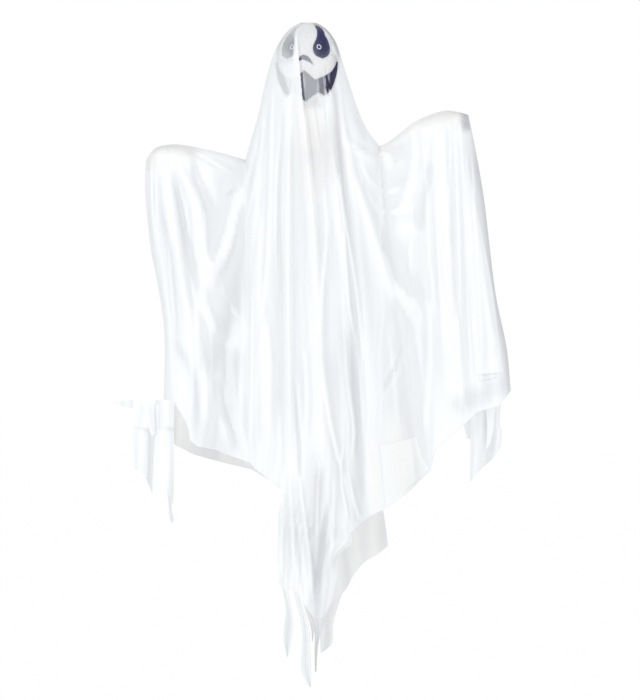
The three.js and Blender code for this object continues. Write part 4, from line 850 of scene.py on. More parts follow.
def ridge_points(side):
    name = "left" if side < 0 else "right"
    lift, hand_lift = math.radians(FOREARM_RAISE[name]), math.radians(HAND_RAISE[name])

    def beyond(place, angle, length, above):
        return (
            place[0] + length * math.cos(angle) - above * math.sin(angle),
            place[1] + length * math.sin(angle) + above * math.cos(angle),
        )

    elbow = (ELBOW_HALF_SPAN, -ELBOW_BELOW_EYE)
    wrist = beyond(elbow, lift, FOREARM_LENGTH, 0)
    knuckle = beyond(wrist, hand_lift, PALM_LENGTH - BEFORE_KNUCKLE, 0)
    over_hand = PALM_THICKNESS / 2 + CLOTH + HAND_SLACK
    over_finger = FINGER_RADIUS + 1 + CLOTH + HAND_SLACK
    curl = math.radians(FINGER_CURL[name])
    bend = FINGER_LENGTH / curl
    centre = beyond(knuckle, hand_lift, 0, -bend)

    def on_finger(angle):
        return beyond(centre, hand_lift - angle, 0, bend + over_finger)

    outermost = min(curl, math.pi / 2 + hand_lift)
    points = [
        (float(bell_reach(NOTCH_DROP[name], name)), crown_top - NOTCH_DROP[name]),
        beyond(elbow, lift, SLEEVE_SHARE * FOREARM_LENGTH, SLEEVE_RADIUS + CLOTH + ARM_SLACK),
        beyond(wrist, (lift + hand_lift) / 2, -BEFORE_WRIST, over_hand),
        beyond(wrist, hand_lift, PALM_SHARE * PALM_LENGTH, over_hand),
        *(on_finger(share * outermost) for share in FINGER_SHARES),
    ]
    end = on_finger(outermost)
    points.append((max(end[0], on_finger(0.9 * outermost)[0]) + 1, lerp(points[-1][1], end[1], 0.5)))
    return [[x, crown_top - z - raised] for (x, z), raised in zip(points, FINGER_LIFT[name])]


print("left ridge ends at", np.round(ridge_points(-1)[-1], 1), "right at", np.round(ridge_points(1)[-1], 1))


# %% Wing patches
def wing_patches(side):
    name = "left" if side < 0 else "right"
    ridge = through(ridge_points(side))
    tip = ridge(1.0)
    edge = through([list(tip)] + [[tip[0] + out, tip[1] + down] for out, down in EDGE_SWAY[name]])
    corner = edge(1.0)
    s = np.sin(np.radians(90 * np.arange(WING_COLUMNS + 1) / WING_COLUMNS))
    t = hang_shares[:, None]
    patches = {}
    for face, word in ((-1, "front"), (1, "back")):
        hem = through((FRONT_HEM if face < 0 else BACK_HEM)[name] + [list(corner)], smooth=False)
        start, foot = ridge(0.0), hem(0.0)
        seam_x, seam_drop = seam(face, side, t)
        edge_place = edge(hang_shares)[:, None]
        over, under = ridge(s)[None], hem(s)[None]

        def blend(n, seam_at):
            corners = lerp(lerp(start[n], tip[n], s)[None], lerp(foot[n], corner[n], s)[None], t)
            return lerp(seam_at, edge_place[..., n], s[None]) + lerp(over[..., n], under[..., n], t) - corners

        x, drop = blend(0, np.abs(seam_x)), blend(1, seam_drop)
        below = drop - over[..., 1]
        out = np.broadcast_to(s[None], x.shape)
        depth = cloth_depth(face, side * x, drop, below, edge_place[..., 0] - x, out)
        depth[0, :] = 0
        depth[:, -1] = 0
        patches[word] = rows_of(side * x, drop, depth, face, cover_at(face, side * x, drop, out, below))
    return patches


left_wing, right_wing = wing_patches(-1), wing_patches(1)
print("wing patches:", left_wing["front"].shape[:2], right_wing["back"].shape[:2])

# %% [markdown]
# ## The lengths that hang from the hems
# The gown's foot isn't cut straight. A long tongue hangs in front, a shorter one behind, torn streamers hang
# from both, and at the hands the corners hang as tails. Each starts from part of a hem's row of points and
# runs down between two side curves, with pleats that deepen on the way.

# %% Tables of hanging lengths
FRONT_TONGUE = dict(
    span=(4 / 16, 12 / 16), rows=56, depth=92, pleats=2, pleat_depth=3, fine=0.4,
    left=[[-52, 890], [-54, 930], [-54.7, 1011]],
    right=[[80, 940], [61, 957], [53, 972], [54, 992], [45, 1046]],
    foot=[[-54.7, 1011], [-44, 1024], [-26, 1029], [-15, 1040], [1, 1066], [20, 1082], [43, 1052]],
)
BACK_TONGUE = dict(
    span=(5 / 12, 1), rows=36, depth=40, pleats=1.3, pleat_depth=2.5, fine=0.1, thin=0.26,
    left=[[0, 950], [12, 1040]], right=[[142, 920], [146, 954]],
    foot=[[12, 1040], [45, 1051], [67, 1036], [83, 1007], [104, 983], [124, 971], [146, 954]],
)
FRONT_STREAMERS = [
    dict(span=(1 / 8, 2 / 8), depth=80, thin=0.2, left=[[-40, 1062], [-44, 1112], [-38, 1150]],
         right=[[-26, 1094], [-31, 1131], [-36, 1150]]),
    dict(span=(5 / 16, 9 / 16), depth=88, thin=0.16, left=[[-11, 1104], [-11, 1176], [3, 1204]],
         right=[[2, 1094], [6, 1176], [6, 1203]]),
    dict(span=(9 / 16, 10 / 16), depth=96, thin=0.4, left=[[5, 1095], [8, 1122]],
         right=[[11, 1095], [9, 1121]]),
    dict(span=(10 / 16, 1), depth=100, thin=0.46, left=[[11, 1100], [12, 1140], [13, 1177]],
         right=[[31, 1082], [20, 1120], [15, 1176]]),
]
BACK_STREAMERS = [
    dict(span=(0, 2 / 7), depth=34, thin=0.34, left=[[20, 1095], [23, 1150]],
         right=[[46, 1095], [45, 1128], [40, 1138]]),
]
for streamer in FRONT_STREAMERS + BACK_STREAMERS:
    streamer.update(rows=24, pleats=1, pleat_depth=1.5, fine=0.2)
print("hanging lengths:", 2 + len(FRONT_STREAMERS) + len(BACK_STREAMERS))


# %% Hang a length from a hem
SIDE_WAVES, SIDE_SHARE, FINE_WAVES = 23, 0.3, 67


def hang_from(hem, face, length):
    """hem is a row of points from the length's left to its right; the patch's last row is its foot."""
    first, last = (round(share * (len(hem) - 1)) for share in length["span"])
    top = hem[first:last + 1]
    start = np.stack([top[:, 0], crown_top - top[:, 2]], axis=-1)
    left, right = through([start[0]] + length["left"]), through([start[-1]] + length["right"])
    across, t = np.linspace(0, 1, len(top))[None, :, None], np.linspace(0, 1, length["rows"] + 1)
    left_place, right_place = left(t)[:, None], right(t)[:, None]
    t = t[:, None, None]
    sides = lerp(left_place, right_place, across)
    foot = sides[-1] if "foot" not in length else through(length["foot"])(across[0, :, 0])
    place = sides + lerp(start - sides[0], foot - sides[-1], t)
    x, drop = place[..., 0], place[..., 1]
    across, t = across[..., 0], t[..., 0]
    pleat = length["pleat_depth"] * np.minimum(1, 2 * t) * np.cos(2 * np.pi * length["pleats"] * across)
    grown = np.minimum(1, 3 * t)
    pleat = pleat + SIDE_SHARE * length["pleat_depth"] * grown * np.sin(SIDE_WAVES * across + 1.5 * t)
    wander = 3 * np.sin(5 * across) - 2 * t
    pleat = pleat + length["fine"] * grown * np.sin(FINE_WAVES * across + wander)
    folds = fold_height(FRONT_MAIN + FRONT_FINE, x, drop) if face < 0 else np.zeros_like(x)
    fall = smoothstep(t, 0, 1)
    depth = lerp(np.abs(top[:, 1])[None] - folds[0], length["depth"], fall) + folds + pleat
    patch = rows_of(x, drop, depth, face, COVER_BODY)
    patch[0] = top
    return patch


front_tongue = hang_from(front_middle[-1], -1, FRONT_TONGUE)
back_tongue = hang_from(back_middle[-1], 1, BACK_TONGUE)
front_streamers = [hang_from(front_tongue[-1], -1, length) for length in FRONT_STREAMERS]
back_streamers = [hang_from(back_tongue[-1], 1, length) for length in BACK_STREAMERS]
print("lowest point of the cloth:", round(min(p[..., 2].min() for p in front_streamers)), "mm")

# %% [markdown]
# ## The corners under the hands
# At each hand the gown ends in a corner that is folded over and hangs in layers. A layer is a patch between
# four curves, given as the other outlines are, with a depth in front at each of its corners and a few pleats:
# where across the layer, how wide for its width, and how far they stand out. The last number is the layer's
# painted shade, a fixed greying of its colour.

# %% Tables of corner layers
LEFT_CORNER = {
    "sliver": dict(
        top=[[-352, 692.5], [-330, 688.5], [-314, 687.5]], foot=[[-352, 693.5], [-326, 701], [-314, 703]],
        depth=(30, 30, 29, 31), pleats=[], thin=0.2,
    ),
    "low_left": dict(
        top=[[-316, 695], [-276, 695]], foot=[[-315.5, 812], [-298, 820.5], [-282, 858.7]],
        left=[[-316, 695], [-317, 760], [-315.5, 812]], right=[[-276, 695], [-277, 760], [-282, 858.7]],
        depth=(22, 28, 22, 24), pleats=[(0.32, 0.2, 3), (0.84, 0.16, -8)], thin=0.14,
    ),
    "low_right": dict(
        top=[[-278, 695], [-243, 695]], foot=[[-282, 858], [-251, 893], [-249.5, 906], [-247, 911]],
        left=[[-278, 695], [-277, 742], [-281, 822], [-282, 858]],
        right=[[-243, 695], [-243.6, 868], [-247, 886], [-243, 906], [-247, 911]],
        depth=(34, 50, 31, 34), pleats=[(0.25, 0.3, 6), (0.85, 0.2, -6)], thin=0.06,
    ),
    "upper_left": dict(
        top=[[-318, 687.5], [-264, 687]],
        foot=[[-314.5, 735], [-289, 739], [-282, 755], [-276, 745], [-264, 738]],
        left=[[-318, 687.5], [-314.5, 735]], right=[[-264, 687], [-264, 738]],
        depth=(32, 44, 34, 46), pleats=[(0.4, 0.15, 2), (0.66, 0.05, 3), (0.82, 0.08, -7)], thin=0.04,
    ),
    "upper_right": dict(
        top=[[-267, 686], [-241, 688]], foot=[[-266, 735], [-243, 736]],
        left=[[-267, 686], [-266, 735]], right=[[-241, 688], [-243, 736]],
        depth=(50, 66, 52, 64), pleats=[(0.25, 0.2, 3), (0.8, 0.2, -2)], thin=0.04,
    ),
}
RIGHT_CORNER = {
    "tab": dict(
        top=[[276, 715], [294, 712]], foot=[[288, 757], [294, 759]],
        left=[[276, 715], [283, 737], [288, 757]], right=[[294, 712], [294, 759]],
        depth=(38, 34, 36, 32), pleats=[], thin=0.24,
    ),
    "tail": dict(
        top=[[292, 690], [352, 680]], foot=[[293.5, 837], [308, 819], [333, 796], [349, 773]],
        left=[[292, 690], [294, 770], [293.5, 837]],
        right=[[352, 680], [348, 730], [352, 745], [349, 773]],
        depth=(40, 20, 26, 22), pleats=[(0.2, 0.12, 2), (0.6, 0.12, -4), (0.9, 0.06, 3)], thin=0.24,
    ),
    "tail_lining": dict(
        top=[[322, 700], [338, 700]], foot=[[322, 778], [330, 768]],
        left=[[322, 700], [325, 740], [322, 778]], right=[[338, 700], [336, 740], [330, 768]],
        depth=(42, 38, 32, 31), pleats=[], thin=0.06,
    ),
}
print("corner layers:", len(LEFT_CORNER), "left,", len(RIGHT_CORNER), "right")


# %% A patch between four curves
LAYER_ROWS, LAYER_COLUMNS, WAVER = 30, 26, 0.4


def four_sided(layer):
    """Sides that a layer doesn't name are straight."""
    top, foot = layer["top"], layer["foot"]
    sides = {"left": [top[0], foot[0]], "right": [top[-1], foot[-1]], **layer}
    s, t = np.linspace(0, 1, LAYER_COLUMNS + 1), np.linspace(0, 1, LAYER_ROWS + 1)
    top, foot = (through(sides[word], smooth=False)(s)[None] for word in ("top", "foot"))
    left, right = (through(sides[word])(t)[:, None] for word in ("left", "right"))
    s, t = s[None, :, None], t[:, None, None]
    corners = lerp(lerp(top[:, :1], top[:, -1:], s), lerp(foot[:, :1], foot[:, -1:], s), t)
    place = lerp(left, right, s) + lerp(top, foot, t) - corners
    s, t = s[..., 0], t[..., 0]
    top_left, top_right, foot_left, foot_right = layer["depth"]
    depth = lerp(lerp(top_left, top_right, s), lerp(foot_left, foot_right, s), t)
    for where, width, rise in layer["pleats"]:
        depth = depth + rise * np.minimum(1, 0.4 + 2 * t) * np.exp(-(((s - where) / width) ** 2))
    depth = depth + WAVER * np.sin(place[..., 0] / 2.7 + place[..., 1] / 31)
    return rows_of(place[..., 0], place[..., 1], depth, -1, COVER_BODY)


left_layers, right_layers = (
    [four_sided(layer) for layer in table.values()] for table in (LEFT_CORNER, RIGHT_CORNER)
)
lowest = [round(min(patch[..., 2].min() for patch in group)) for group in (left_layers, right_layers)]
print("lowest points of the corners:", lowest)

# %% [markdown]
# ## Doubled cloth on the right wing
# Above the right corner the outer edge of the gown is folded back over itself, so that two panels lie on the
# wing and their hems show one above the other. Further in, the hem is turned up once. Each panel is laid on the
# wing by looking straight through it from in front, and stands off a little more towards its free edges.

# %% Panels laid on the wing
OVERLAYS = [
    dict(rows=40, columns=22, lift=(0.3, 2.2), thin=0.14, left=[[290, 440], [300, 560], [310, 653]],
         right=[[322, 440], [334, 560], [341, 645]]),
    dict(rows=60, columns=26, lift=(0.1, 6), thin=0.0,
         left=[[281, 250], [284, 380], [292, 500], [303.5, 641]],
         right=[[284, 250], [314, 380], [336, 500], [350, 620], [352.5, 637]]),
]
TURN_UP = dict(rows=26, columns=30, lift=(1.6, 0.5), thin=0.0, left=[[128, 768], [132, 795], [139, 878]],
               right=[[196, 755], [206, 790], [219, 812]])
LOOK_FROM, EDGE_WAVER = -400, 0.4


def laid_on(grids, panel):
    """The panel as a patch that lies on the foremost of some patches, as seen from in front."""
    trees = [
        BVHTree.FromPolygons([Vector(row[:3]) for row in rows.reshape(-1, 4)], grid_faces(*rows.shape[:2]))
        for rows in grids
    ]
    left, right = through(panel["left"]), through(panel["right"])
    laid, last = [], 0.0
    for t in np.arange(panel["rows"] + 1) / panel["rows"]:
        (left_x, left_drop), (right_x, right_drop) = left(t), right(t)
        line = []
        for s in np.arange(panel["columns"] + 1) / panel["columns"]:
            x, drop = lerp(left_x, right_x, s), lerp(left_drop, right_drop, s)
            start = Vector((x, LOOK_FROM, crown_top - drop))
            hits = [tree.ray_cast(start, Vector((0, 1, 0)))[0] for tree in trees]
            depths = [hit.y for hit in hits if hit]
            last = min(depths) if depths else last
            lift = lerp(panel["lift"][0], panel["lift"][1], t) + EDGE_WAVER * t * math.sin(11 * s)
            line.append((x, last - lift, crown_top - drop, COVER_BODY))
        laid.append(line)
    return np.array(laid)


overlays = [laid_on([right_wing["front"]], panel) for panel in OVERLAYS]
turn_up = laid_on([right_wing["front"], front_middle], TURN_UP)
print("panels laid on the right wing:", [panel.shape[:2] for panel in overlays + [turn_up]])

# %% [markdown]
# ## Sew the pieces
# The middle stays with the frame. Each wing must follow its forearm when that is raised, so it is a piece of
# its own; it meets the middle along the seam, where both have exactly the same points.

# %% Gather the patches into three pieces
TORN_RADIUS, TURN_UP_RADIUS = 0.4, 0.35


def sewn(name, patches, hems):
    """A piece from its patches (rows, outward, painted shade) and its hems (row of points, radius)."""
    piece = Cloth(name)
    for patch in patches:
        piece.patch(*patch)
    for hem in hems:
        piece.hem(*hem)
    return piece.make()


def beside_tongue(hem, tongue):
    """The parts of a hem to the left and right of the tongue that hangs from it."""
    first, last = (round(share * (len(hem) - 1)) for share in tongue["span"])
    return [(part,) for part in (hem[:first + 1], hem[last:]) if len(part) > 1]


def hung(patches, lengths, outward):
    return [(patch, outward, length.get("thin")) for patch, length in zip(patches, lengths)]


gown = [
    sewn(
        "gown_middle",
        [(front_middle, 1), (back_middle, -1)] + hung([front_tongue], [FRONT_TONGUE], 1)
        + hung([back_tongue], [BACK_TONGUE], -1) + hung(front_streamers, FRONT_STREAMERS, 1)
        + hung(back_streamers, BACK_STREAMERS, -1),
        beside_tongue(front_middle[-1], FRONT_TONGUE) + beside_tongue(back_middle[-1], BACK_TONGUE)
        + [(patch[-1], TORN_RADIUS) for patch in (front_tongue, back_tongue)],
    ),
    sewn(
        "gown_left_wing",
        [(left_wing["front"], -1), (left_wing["back"], 1)] + hung(left_layers, LEFT_CORNER.values(), 1),
        [(patch[-1],) for patch in left_wing.values()],
    ),
    sewn(
        "gown_right_wing",
        [(right_wing["front"], 1), (right_wing["back"], -1)] + hung(right_layers, RIGHT_CORNER.values(), 1)
        + hung(overlays + [turn_up], OVERLAYS + [TURN_UP], 1),
        [(patch[-1],) for patch in list(right_wing.values()) + overlays]
        + [(line, TURN_UP_RADIUS) for line in (turn_up[0], turn_up[:, 0])],
    ),
]
for piece in gown:
    print(piece.name, len(piece.data.polygons), "faces,", round(area_of(piece), 3), "m2")


# %% Smooth shading across the seams
def share_normals(pieces):
    """Every point's normal is the sum over all pieces that meet there, so that no seam shows as a crease."""
    sums = {}
    keys = []
    for piece in pieces:
        mesh = piece.data
        places = np.empty(3 * len(mesh.vertices))
        mesh.vertices.foreach_get("co", places)
        normals = np.empty(3 * len(mesh.vertices))
        mesh.vertices.foreach_get("normal", normals)
        rows = [tuple(row) for row in np.round(places.reshape(-1, 3) / MM, 2)]
        keys.append(rows)
        for key, normal in zip(rows, normals.reshape(-1, 3)):
            sums[key] = sums.get(key, 0) + normal
    for piece, rows in zip(pieces, keys):
        shared = [sums[key] / max(1e-9, np.linalg.norm(sums[key])) for key in rows]
        piece.data.normals_split_custom_set_from_vertices(shared)


share_normals(gown)
print("normals shared between", len(gown), "pieces")

# %% [markdown]
# ## Effects that several finishes share
# Three small node groups are built once: a fine grain for moulded and foamed plastic and for print, a slow
# drift between two colours so that no surface is one flat colour, and the threads of the thin cloth. Each
# takes its scale from the material that uses it. All of them read object coordinates, which here are metres.

# %% Helpers for node groups
def new_group(name, inputs, outputs):
    made = bpy.data.node_groups.new(name, "ShaderNodeTree")
    for word, kind, value in inputs:
        socket = made.interface.new_socket(name=word, in_out="INPUT", socket_type="NodeSocket" + kind)
        socket.default_value = value
    for word, kind in outputs:
        made.interface.new_socket(name=word, in_out="OUTPUT", socket_type="NodeSocket" + kind)
    return made, made.nodes.new("NodeGroupInput").outputs, made.nodes.new("NodeGroupOutput").inputs


def stretched(tree, scale):
    """Object coordinates multiplied by a scale for each axis."""
    place, mapping = add(tree, "TexCoord"), add(tree, "Mapping", {"Scale": scale})
    tree.links.new(place.outputs["Object"], mapping.inputs["Vector"])
    return mapping.outputs["Vector"]


print("group helpers ready")

# %% Group: fine grain
grain, grain_in, grain_out = new_group(
    "fine_grain", [("Cells per metre", "Float", 700.0), ("Unevenness", "Float", 0.4)],
    [("Height", "Float"), ("Tone", "Float")],
)
cells, slow = add(grain, "TexNoise"), add(grain, "TexNoise", {"Scale": 14, "Detail": 3})
place = stretched(grain, (1, 1, 1))
uneven = math_node(grain, "MULTIPLY", slow.outputs["Fac"], grain_in["Unevenness"])
wire(grain, (place, cells.inputs["Vector"]), (place, slow.inputs["Vector"]),
     (grain_in["Cells per metre"], cells.inputs["Scale"]),
     (math_node(grain, "ADD", cells.outputs["Fac"], uneven), grain_out["Height"]),
     (slow.outputs["Fac"], grain_out["Tone"]))
print(grain.name, len(grain.nodes), "nodes")

# %% Group: colour drift
drift, drift_in, drift_out = new_group(
    "colour_drift", [("Main", "Color", (1, 1, 1, 1)), ("Other", "Color", (0.9, 0.9, 0.9, 1)),
                     ("Patches per metre", "Float", 9.0)],
    [("Colour", "Color")],
)
patches = add(drift, "TexNoise", {"Detail": 4})
ramp = add(drift, "MapRange", {"From Min": 0.38, "From Max": 0.66})
blend = add(drift, "MixRGB")
wire(drift, (stretched(drift, (1, 1, 0.5)), patches.inputs["Vector"]),
     (drift_in["Patches per metre"], patches.inputs["Scale"]), (patches.outputs["Fac"], ramp.inputs["Value"]),
     (ramp.outputs["Result"], blend.inputs["Fac"]), (drift_in["Main"], blend.inputs["Color1"]),
     (drift_in["Other"], blend.inputs["Color2"]), (blend.outputs["Color"], drift_out["Colour"]))
print(drift.name, len(drift.nodes), "nodes")

# %% Group: threads of the thin cloth
SLUB_SCALE, BANDS_PER_WAVE = (260, 260, 14), 20

threads, threads_in, threads_out = new_group(
    "voile_threads", [("Threads per metre", "Float", 1400.0), ("Slub", "Float", 0.5)],
    [("Height", "Float"), ("Density", "Float")],
)
slub = add(threads, "TexNoise", {"Detail": 2, "Scale": 1})
threads.links.new(stretched(threads, SLUB_SCALE), slub.inputs["Vector"])
place = stretched(threads, (1, 1, 1))
per_wave = math_node(threads, "DIVIDE", threads_in["Threads per metre"], BANDS_PER_WAVE)
waves = []
for direction in "XZ":
    wave = add(threads, "TexWave", {"Distortion": 0.6}, wave_type="BANDS", bands_direction=direction)
    wire(threads, (place, wave.inputs["Vector"]), (per_wave, wave.inputs["Scale"]))
    waves.append(wave.outputs["Fac"])
uneven = math_node(threads, "MULTIPLY", slub.outputs["Fac"], threads_in["Slub"])
height = math_node(threads, "ADD", math_node(threads, "MAXIMUM", *waves), uneven)
wire(threads, (height, threads_out["Height"]), (slub.outputs["Fac"], threads_out["Density"]))
print(threads.name, len(threads.nodes), "nodes")

# %% [markdown]
# ## Finishes
# The gown is white voile: matt, soft at grazing angles, and see-through by the cover that its points carry.
# Its colour is greyed towards blue by painted shade in the folds and wherever its points carry painted shade.
# The head is a glossy moulding, the hands and sleeves are cream foam that warms
# the cloth where it lies on them, the printed face is almost black with a little blue in it, and the metal
# parts are zinc plated. Real voile glows where light comes through it, so it stops only half of the light that
# falls on it, although it hides nearly all of what is behind it.

# %% Finish builder
ROUGHNESS_SPREAD = 0.15


def use(tree, group, **values):
    made = add(tree, "Group", node_tree=group)
    for word, value in values.items():
        made.inputs[word.replace("_", " ")].default_value = value
    return made.outputs


def bump(tree, height, distance):
    made = add(tree, "Bump", {"Distance": distance, "Strength": 1.0})
    tree.links.new(height, made.inputs["Height"])
    return made.outputs["Normal"]


def plain_finish(name, main, other, roughness, cells, relief, **constants):
    """Two close colours that drift, and a grain of so many cells a metre, relief metres deep."""
    made = material(name)
    tree = made.node_tree
    shader = tree.nodes["Principled BSDF"].inputs
    colours = use(tree, drift, Main=(*main, 1), Other=(*other, 1))
    surface = use(tree, grain, Cells_per_metre=cells)
    low, high = (1 - ROUGHNESS_SPREAD) * roughness, (1 + ROUGHNESS_SPREAD) * roughness
    rough = add(tree, "MapRange", {"To Min": low, "To Max": high})
    wire(tree, (colours["Colour"], shader["Base Color"]),
         (bump(tree, surface["Height"], relief), shader["Normal"]),
         (surface["Tone"], rough.inputs["Value"]), (rough.outputs["Result"], shader["Roughness"]))
    for word, value in constants.items():
        shader[word.replace("_", " ")].default_value = value
    return made


finishes = {
    "head_plastic": plain_finish("smooth_white_plastic", (0.79, 0.79, 0.79), (0.75, 0.755, 0.76), 0.4, 500,
                                 0.000002, Coat_Weight=0.12, Coat_Roughness=0.2),
    "fitting_plastic": plain_finish("satin_white_plastic", (0.78, 0.77, 0.74), (0.70, 0.69, 0.66), 0.5, 900,
                                    0.00006),
    "pale_foam": plain_finish("cream_foam", (0.86, 0.76, 0.64), (0.79, 0.68, 0.55), 0.85, 420, 0.0004),
    "zinc_steel": plain_finish("zinc_plate", (0.62, 0.63, 0.65), (0.50, 0.52, 0.55), 0.34, 1500, 0.00003,
                               Metallic=1.0),
    "face_print": plain_finish("blue_black_print", (0.010, 0.010, 0.055), (0.016, 0.016, 0.085), 0.5, 800,
                               0.00002, Specular_IOR_Level=0.25),
}
print("finishes:", ", ".join(made.name for made in finishes.values()))

# %% The cloth's finish
LIGHT_THROUGH, THREAD_RELIEF, DENSITY_SPREAD = 0.5, 0.000015, 0.04
# The painted shade greys the cloth towards a bluish grey; warmth is the cream foam seen through it and a
# painted glow of light shining through.
TINTS = (("warmth_and_glow", (0.95, 0.945, 0.90, 1)), ("thin", (0.51, 0.52, 0.55, 1)))

voile = material("white_voile")
tree = voile.node_tree
shader = tree.nodes["Principled BSDF"].inputs
for word, value in (("Roughness", 0.92), ("Specular IOR Level", 0.25), ("Sheen Weight", 0.15),
                    ("Sheen Roughness", 0.5)):
    shader[word].default_value = value
white_yarn, blue_yarn = (0.945, 0.963, 0.97, 1), (0.91, 0.93, 0.945, 1)
colour = use(tree, drift, Main=white_yarn, Other=blue_yarn, Patches_per_metre=7)["Colour"]
for word, other in TINTS:
    share = add(tree, "Attribute", attribute_name=word)
    tint = add(tree, "MixRGB", {"Color2": other})
    wire(tree, (share.outputs["Fac"], tint.inputs["Fac"]), (colour, tint.inputs["Color1"]))
    colour = tint.outputs["Color"]
yarn = use(tree, threads)
cover = add(tree, "Attribute", attribute_name="cover")
uneven = math_node(tree, "MULTIPLY", math_node(tree, "SUBTRACT", yarn["Density"], 0.5), DENSITY_SPREAD)
seen = math_node(tree, "ADD", cover.outputs["Fac"], uneven, use_clamp=True)
rays = add(tree, "LightPath").outputs
light_rays = math_node(tree, "MAXIMUM", rays["Is Shadow Ray"], rays["Is Diffuse Ray"])
let_through = math_node(tree, "SUBTRACT", 1.0, math_node(tree, "MULTIPLY", light_rays, LIGHT_THROUGH))
wire(tree, (colour, shader["Base Color"]), (bump(tree, yarn["Height"], THREAD_RELIEF), shader["Normal"]),
     (math_node(tree, "MULTIPLY", seen, let_through), shader["Alpha"]))
for piece in gown:
    piece.data.materials.append(voile)
print(voile.name, "on", ", ".join(piece.name for piece in gown))

# %% [markdown]
# ## Dress the rigid pieces
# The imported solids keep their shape. They get the finish of their slot and smooth shading: a weld joins the
# points that the file split, and an edge split keeps the real corners sharp. The foamed hands were built from
# simple rounded lengths, so a remesh and a smooth run them into one soft hand.

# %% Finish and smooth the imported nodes
CORNER_ANGLE, WELD_REACH, HAND_VOXEL, HAND_SMOOTHING = math.radians(38), 0.00002, 0.0022, 12
slot_of = {part["node"]: part["material_slot"] for part in frame["record"]["subparts"]}


def soften(node, remesh):
    mesh = node.data
    if "custom_normal" in mesh.attributes:
        mesh.attributes.remove(mesh.attributes["custom_normal"])
    mesh.polygons.foreach_set("use_smooth", [True] * len(mesh.polygons))
    node.modifiers.new("join_split_points", "WELD").merge_threshold = WELD_REACH
    if remesh:
        round_off = node.modifiers.new("one_soft_form", "REMESH")
        round_off.mode, round_off.voxel_size = "VOXEL", HAND_VOXEL
        round_off.use_smooth_shade = True
        even = node.modifiers.new("run_together", "SMOOTH")
        even.factor, even.iterations = 0.5, HAND_SMOOTHING
    else:
        node.modifiers.new("keep_corners", "EDGE_SPLIT").split_angle = CORNER_ANGLE


dressed = [name for name in frame["nodes"] if slot_of[name] in finishes]
for name in dressed:
    node = frame["nodes"][name]
    node.data.materials.clear()
    node.data.materials.append(finishes[slot_of[name]])
    soften(node, remesh=name.endswith("_hand"))
print("dressed", len(dressed), "packed nodes")

# %% [markdown]
# ## Pupils and tails of the printed eyes
# Each printed eye has a small pale ring in it, a little off its middle, so that the ghost seems to look down
# to one side. Each eye is also a drop whose tail runs on over the brow towards the crown. Both are printed:
# thin bands whose points are dropped onto the film, or onto the head, from in front.

# %% Print on the head
INK_THICKNESS = 0.15


def surface_of(name):
    mesh = frame["nodes"][name].data
    return BVHTree.FromPolygons([v.co for v in mesh.vertices], [p.vertices for p in mesh.polygons])


def dropped(tree, start, direction, height):
    """The point so many millimetres above the surface that is met from start."""
    hit, normal, _, _ = tree.ray_cast(start, direction)
    return hit + MM * height * normal


def printed(name, points, faces, finish, smooth):
    made = new_piece(name, points, faces, finish, smooth)
    made.modifiers.new("ink_thickness", "SOLIDIFY").thickness = MM * INK_THICKNESS
    return made


brow = dropped(surface_of("head_front_shell"), Vector((0, -0.2, -0.05)), Vector((0, 1, 0)), 0)
print("front of the head stands at", round(brow.y / MM, 1), "mm")

# %% Two pupil rings
PUPIL_DROP, PUPIL_TURN, FACE_TURN = 48.5, {"left": -26.1, "right": 29.4}, -7
PUPIL_OUTER, PUPIL_INNER, RING_STEPS, RING_SIDES = 4.5, 3.0, 3, 32
VIEW_FROM = 0.2


def pupil_ring(side):
    tree = surface_of(side + "_eye_film")
    angle = math.radians(FACE_TURN + PUPIL_TURN[side])
    direction = -Vector((math.sin(angle), -math.cos(angle), 0))
    across = Vector((direction.y, -direction.x, 0))
    centre = Vector((0, 0, MM * (crown_top - PUPIL_DROP)))
    points = []
    for k in range(RING_STEPS + 1):
        radius = lerp(PUPIL_INNER, PUPIL_OUTER, k / RING_STEPS)
        for i in range(RING_SIDES):
            turn = 2 * math.pi * i / RING_SIDES
            x, z = radius * math.cos(turn), radius * math.sin(turn)
            start = centre + MM * (x * across) + Vector((0, 0, MM * z)) - VIEW_FROM * direction
            points.append(dropped(tree, start, direction, INK_THICKNESS))
    faces = [
        (k * RING_SIDES + i, k * RING_SIDES + after, (k + 1) * RING_SIDES + after, (k + 1) * RING_SIDES + i)
        for k in range(RING_STEPS) for i in range(RING_SIDES) for after in [(i + 1) % RING_SIDES]
    ]
    return printed(side + "_pupil_ring", points, faces, finishes["head_plastic"], smooth=False)


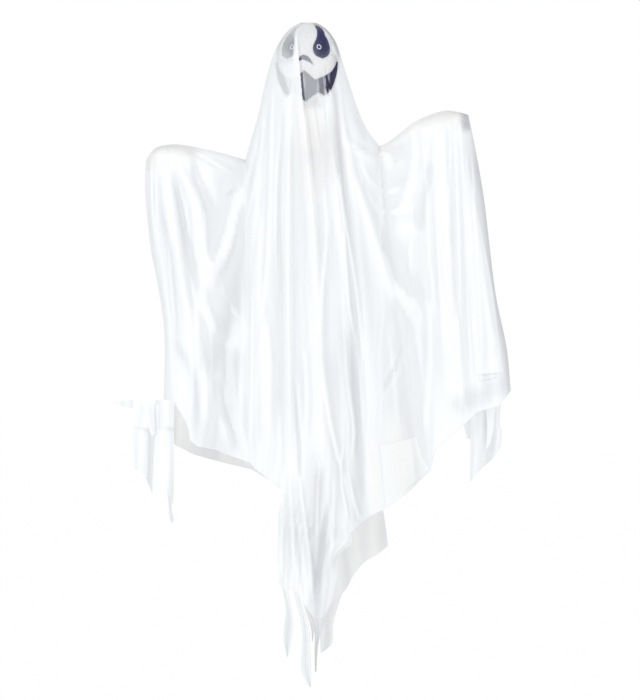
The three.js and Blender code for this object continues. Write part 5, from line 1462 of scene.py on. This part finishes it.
pupils = [pupil_ring(side) for side in PUPIL_TURN]
for piece in pupils:
    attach(piece, "head")
print("pupil rings:", ", ".join(piece.name for piece in pupils))

# %% Two printed tails
EYE_TAILS = {
    "right": dict(left=[[9, 5.6], [14.6, 9], [17.2, 15], [18.6, 24]],
                  right=[[15.5, 7.4], [22.5, 11], [27.5, 16.5], [31, 24]]),
    "left": dict(left=[[-26, 13.5], [-29, 17], [-32, 22], [-34, 28]],
                 right=[[-21.5, 11], [-23, 14], [-26, 20], [-27, 26]]),
}
TAIL_HEIGHT, TAIL_ROWS, TAIL_COLUMNS = 0.25, 24, 8


def printed_tail(name, tail):
    tree = surface_of("head_front_shell")
    left, right = through(tail["left"]), through(tail["right"])
    points = []
    for t in np.arange(TAIL_ROWS + 1) / TAIL_ROWS:
        for s in np.arange(TAIL_COLUMNS + 1) / TAIL_COLUMNS:
            x, drop = lerp(left(t), right(t), s)
            start = Vector((MM * x, -VIEW_FROM, MM * (crown_top - drop)))
            points.append(dropped(tree, start, Vector((0, 1, 0)), TAIL_HEIGHT))
    faces = grid_faces(TAIL_ROWS + 1, TAIL_COLUMNS + 1)
    made = printed(name, points, faces, finishes["face_print"], smooth=True)
    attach(made, "head")
    return made


tails = [printed_tail(side + "_eye_tail", tail) for side, tail in EYE_TAILS.items()]
print("printed tails:", ", ".join(piece.name for piece in tails))

# %% [markdown]
# ## Say what moves with what
# The middle of the gown is attached to the frame. The wings keep their places; nothing here makes them follow
# the forearms. The imported solids that the cloth pieces take the place of are hidden, and the area of each
# piece is printed.

# %% Motion, hidden solids and cloth areas
# Motion, stand-ins and cloth sizes
gown_middle, gown_left, gown_right = gown
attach(gown_middle, "root")
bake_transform(gown_left)
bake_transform(gown_right)
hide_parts("drape_front_centre", "drape_back_centre", "front_tongue", "back_tongue",
            "streamer_1", "streamer_2", "streamer_3", "streamer_4", "streamer_5")
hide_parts("drape_left_wing", "left_corner_flap", "left_tail")
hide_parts("drape_right_wing", "right_tail")
print("areas:", {piece.name: round(area_of(piece), 3) for piece in gown})
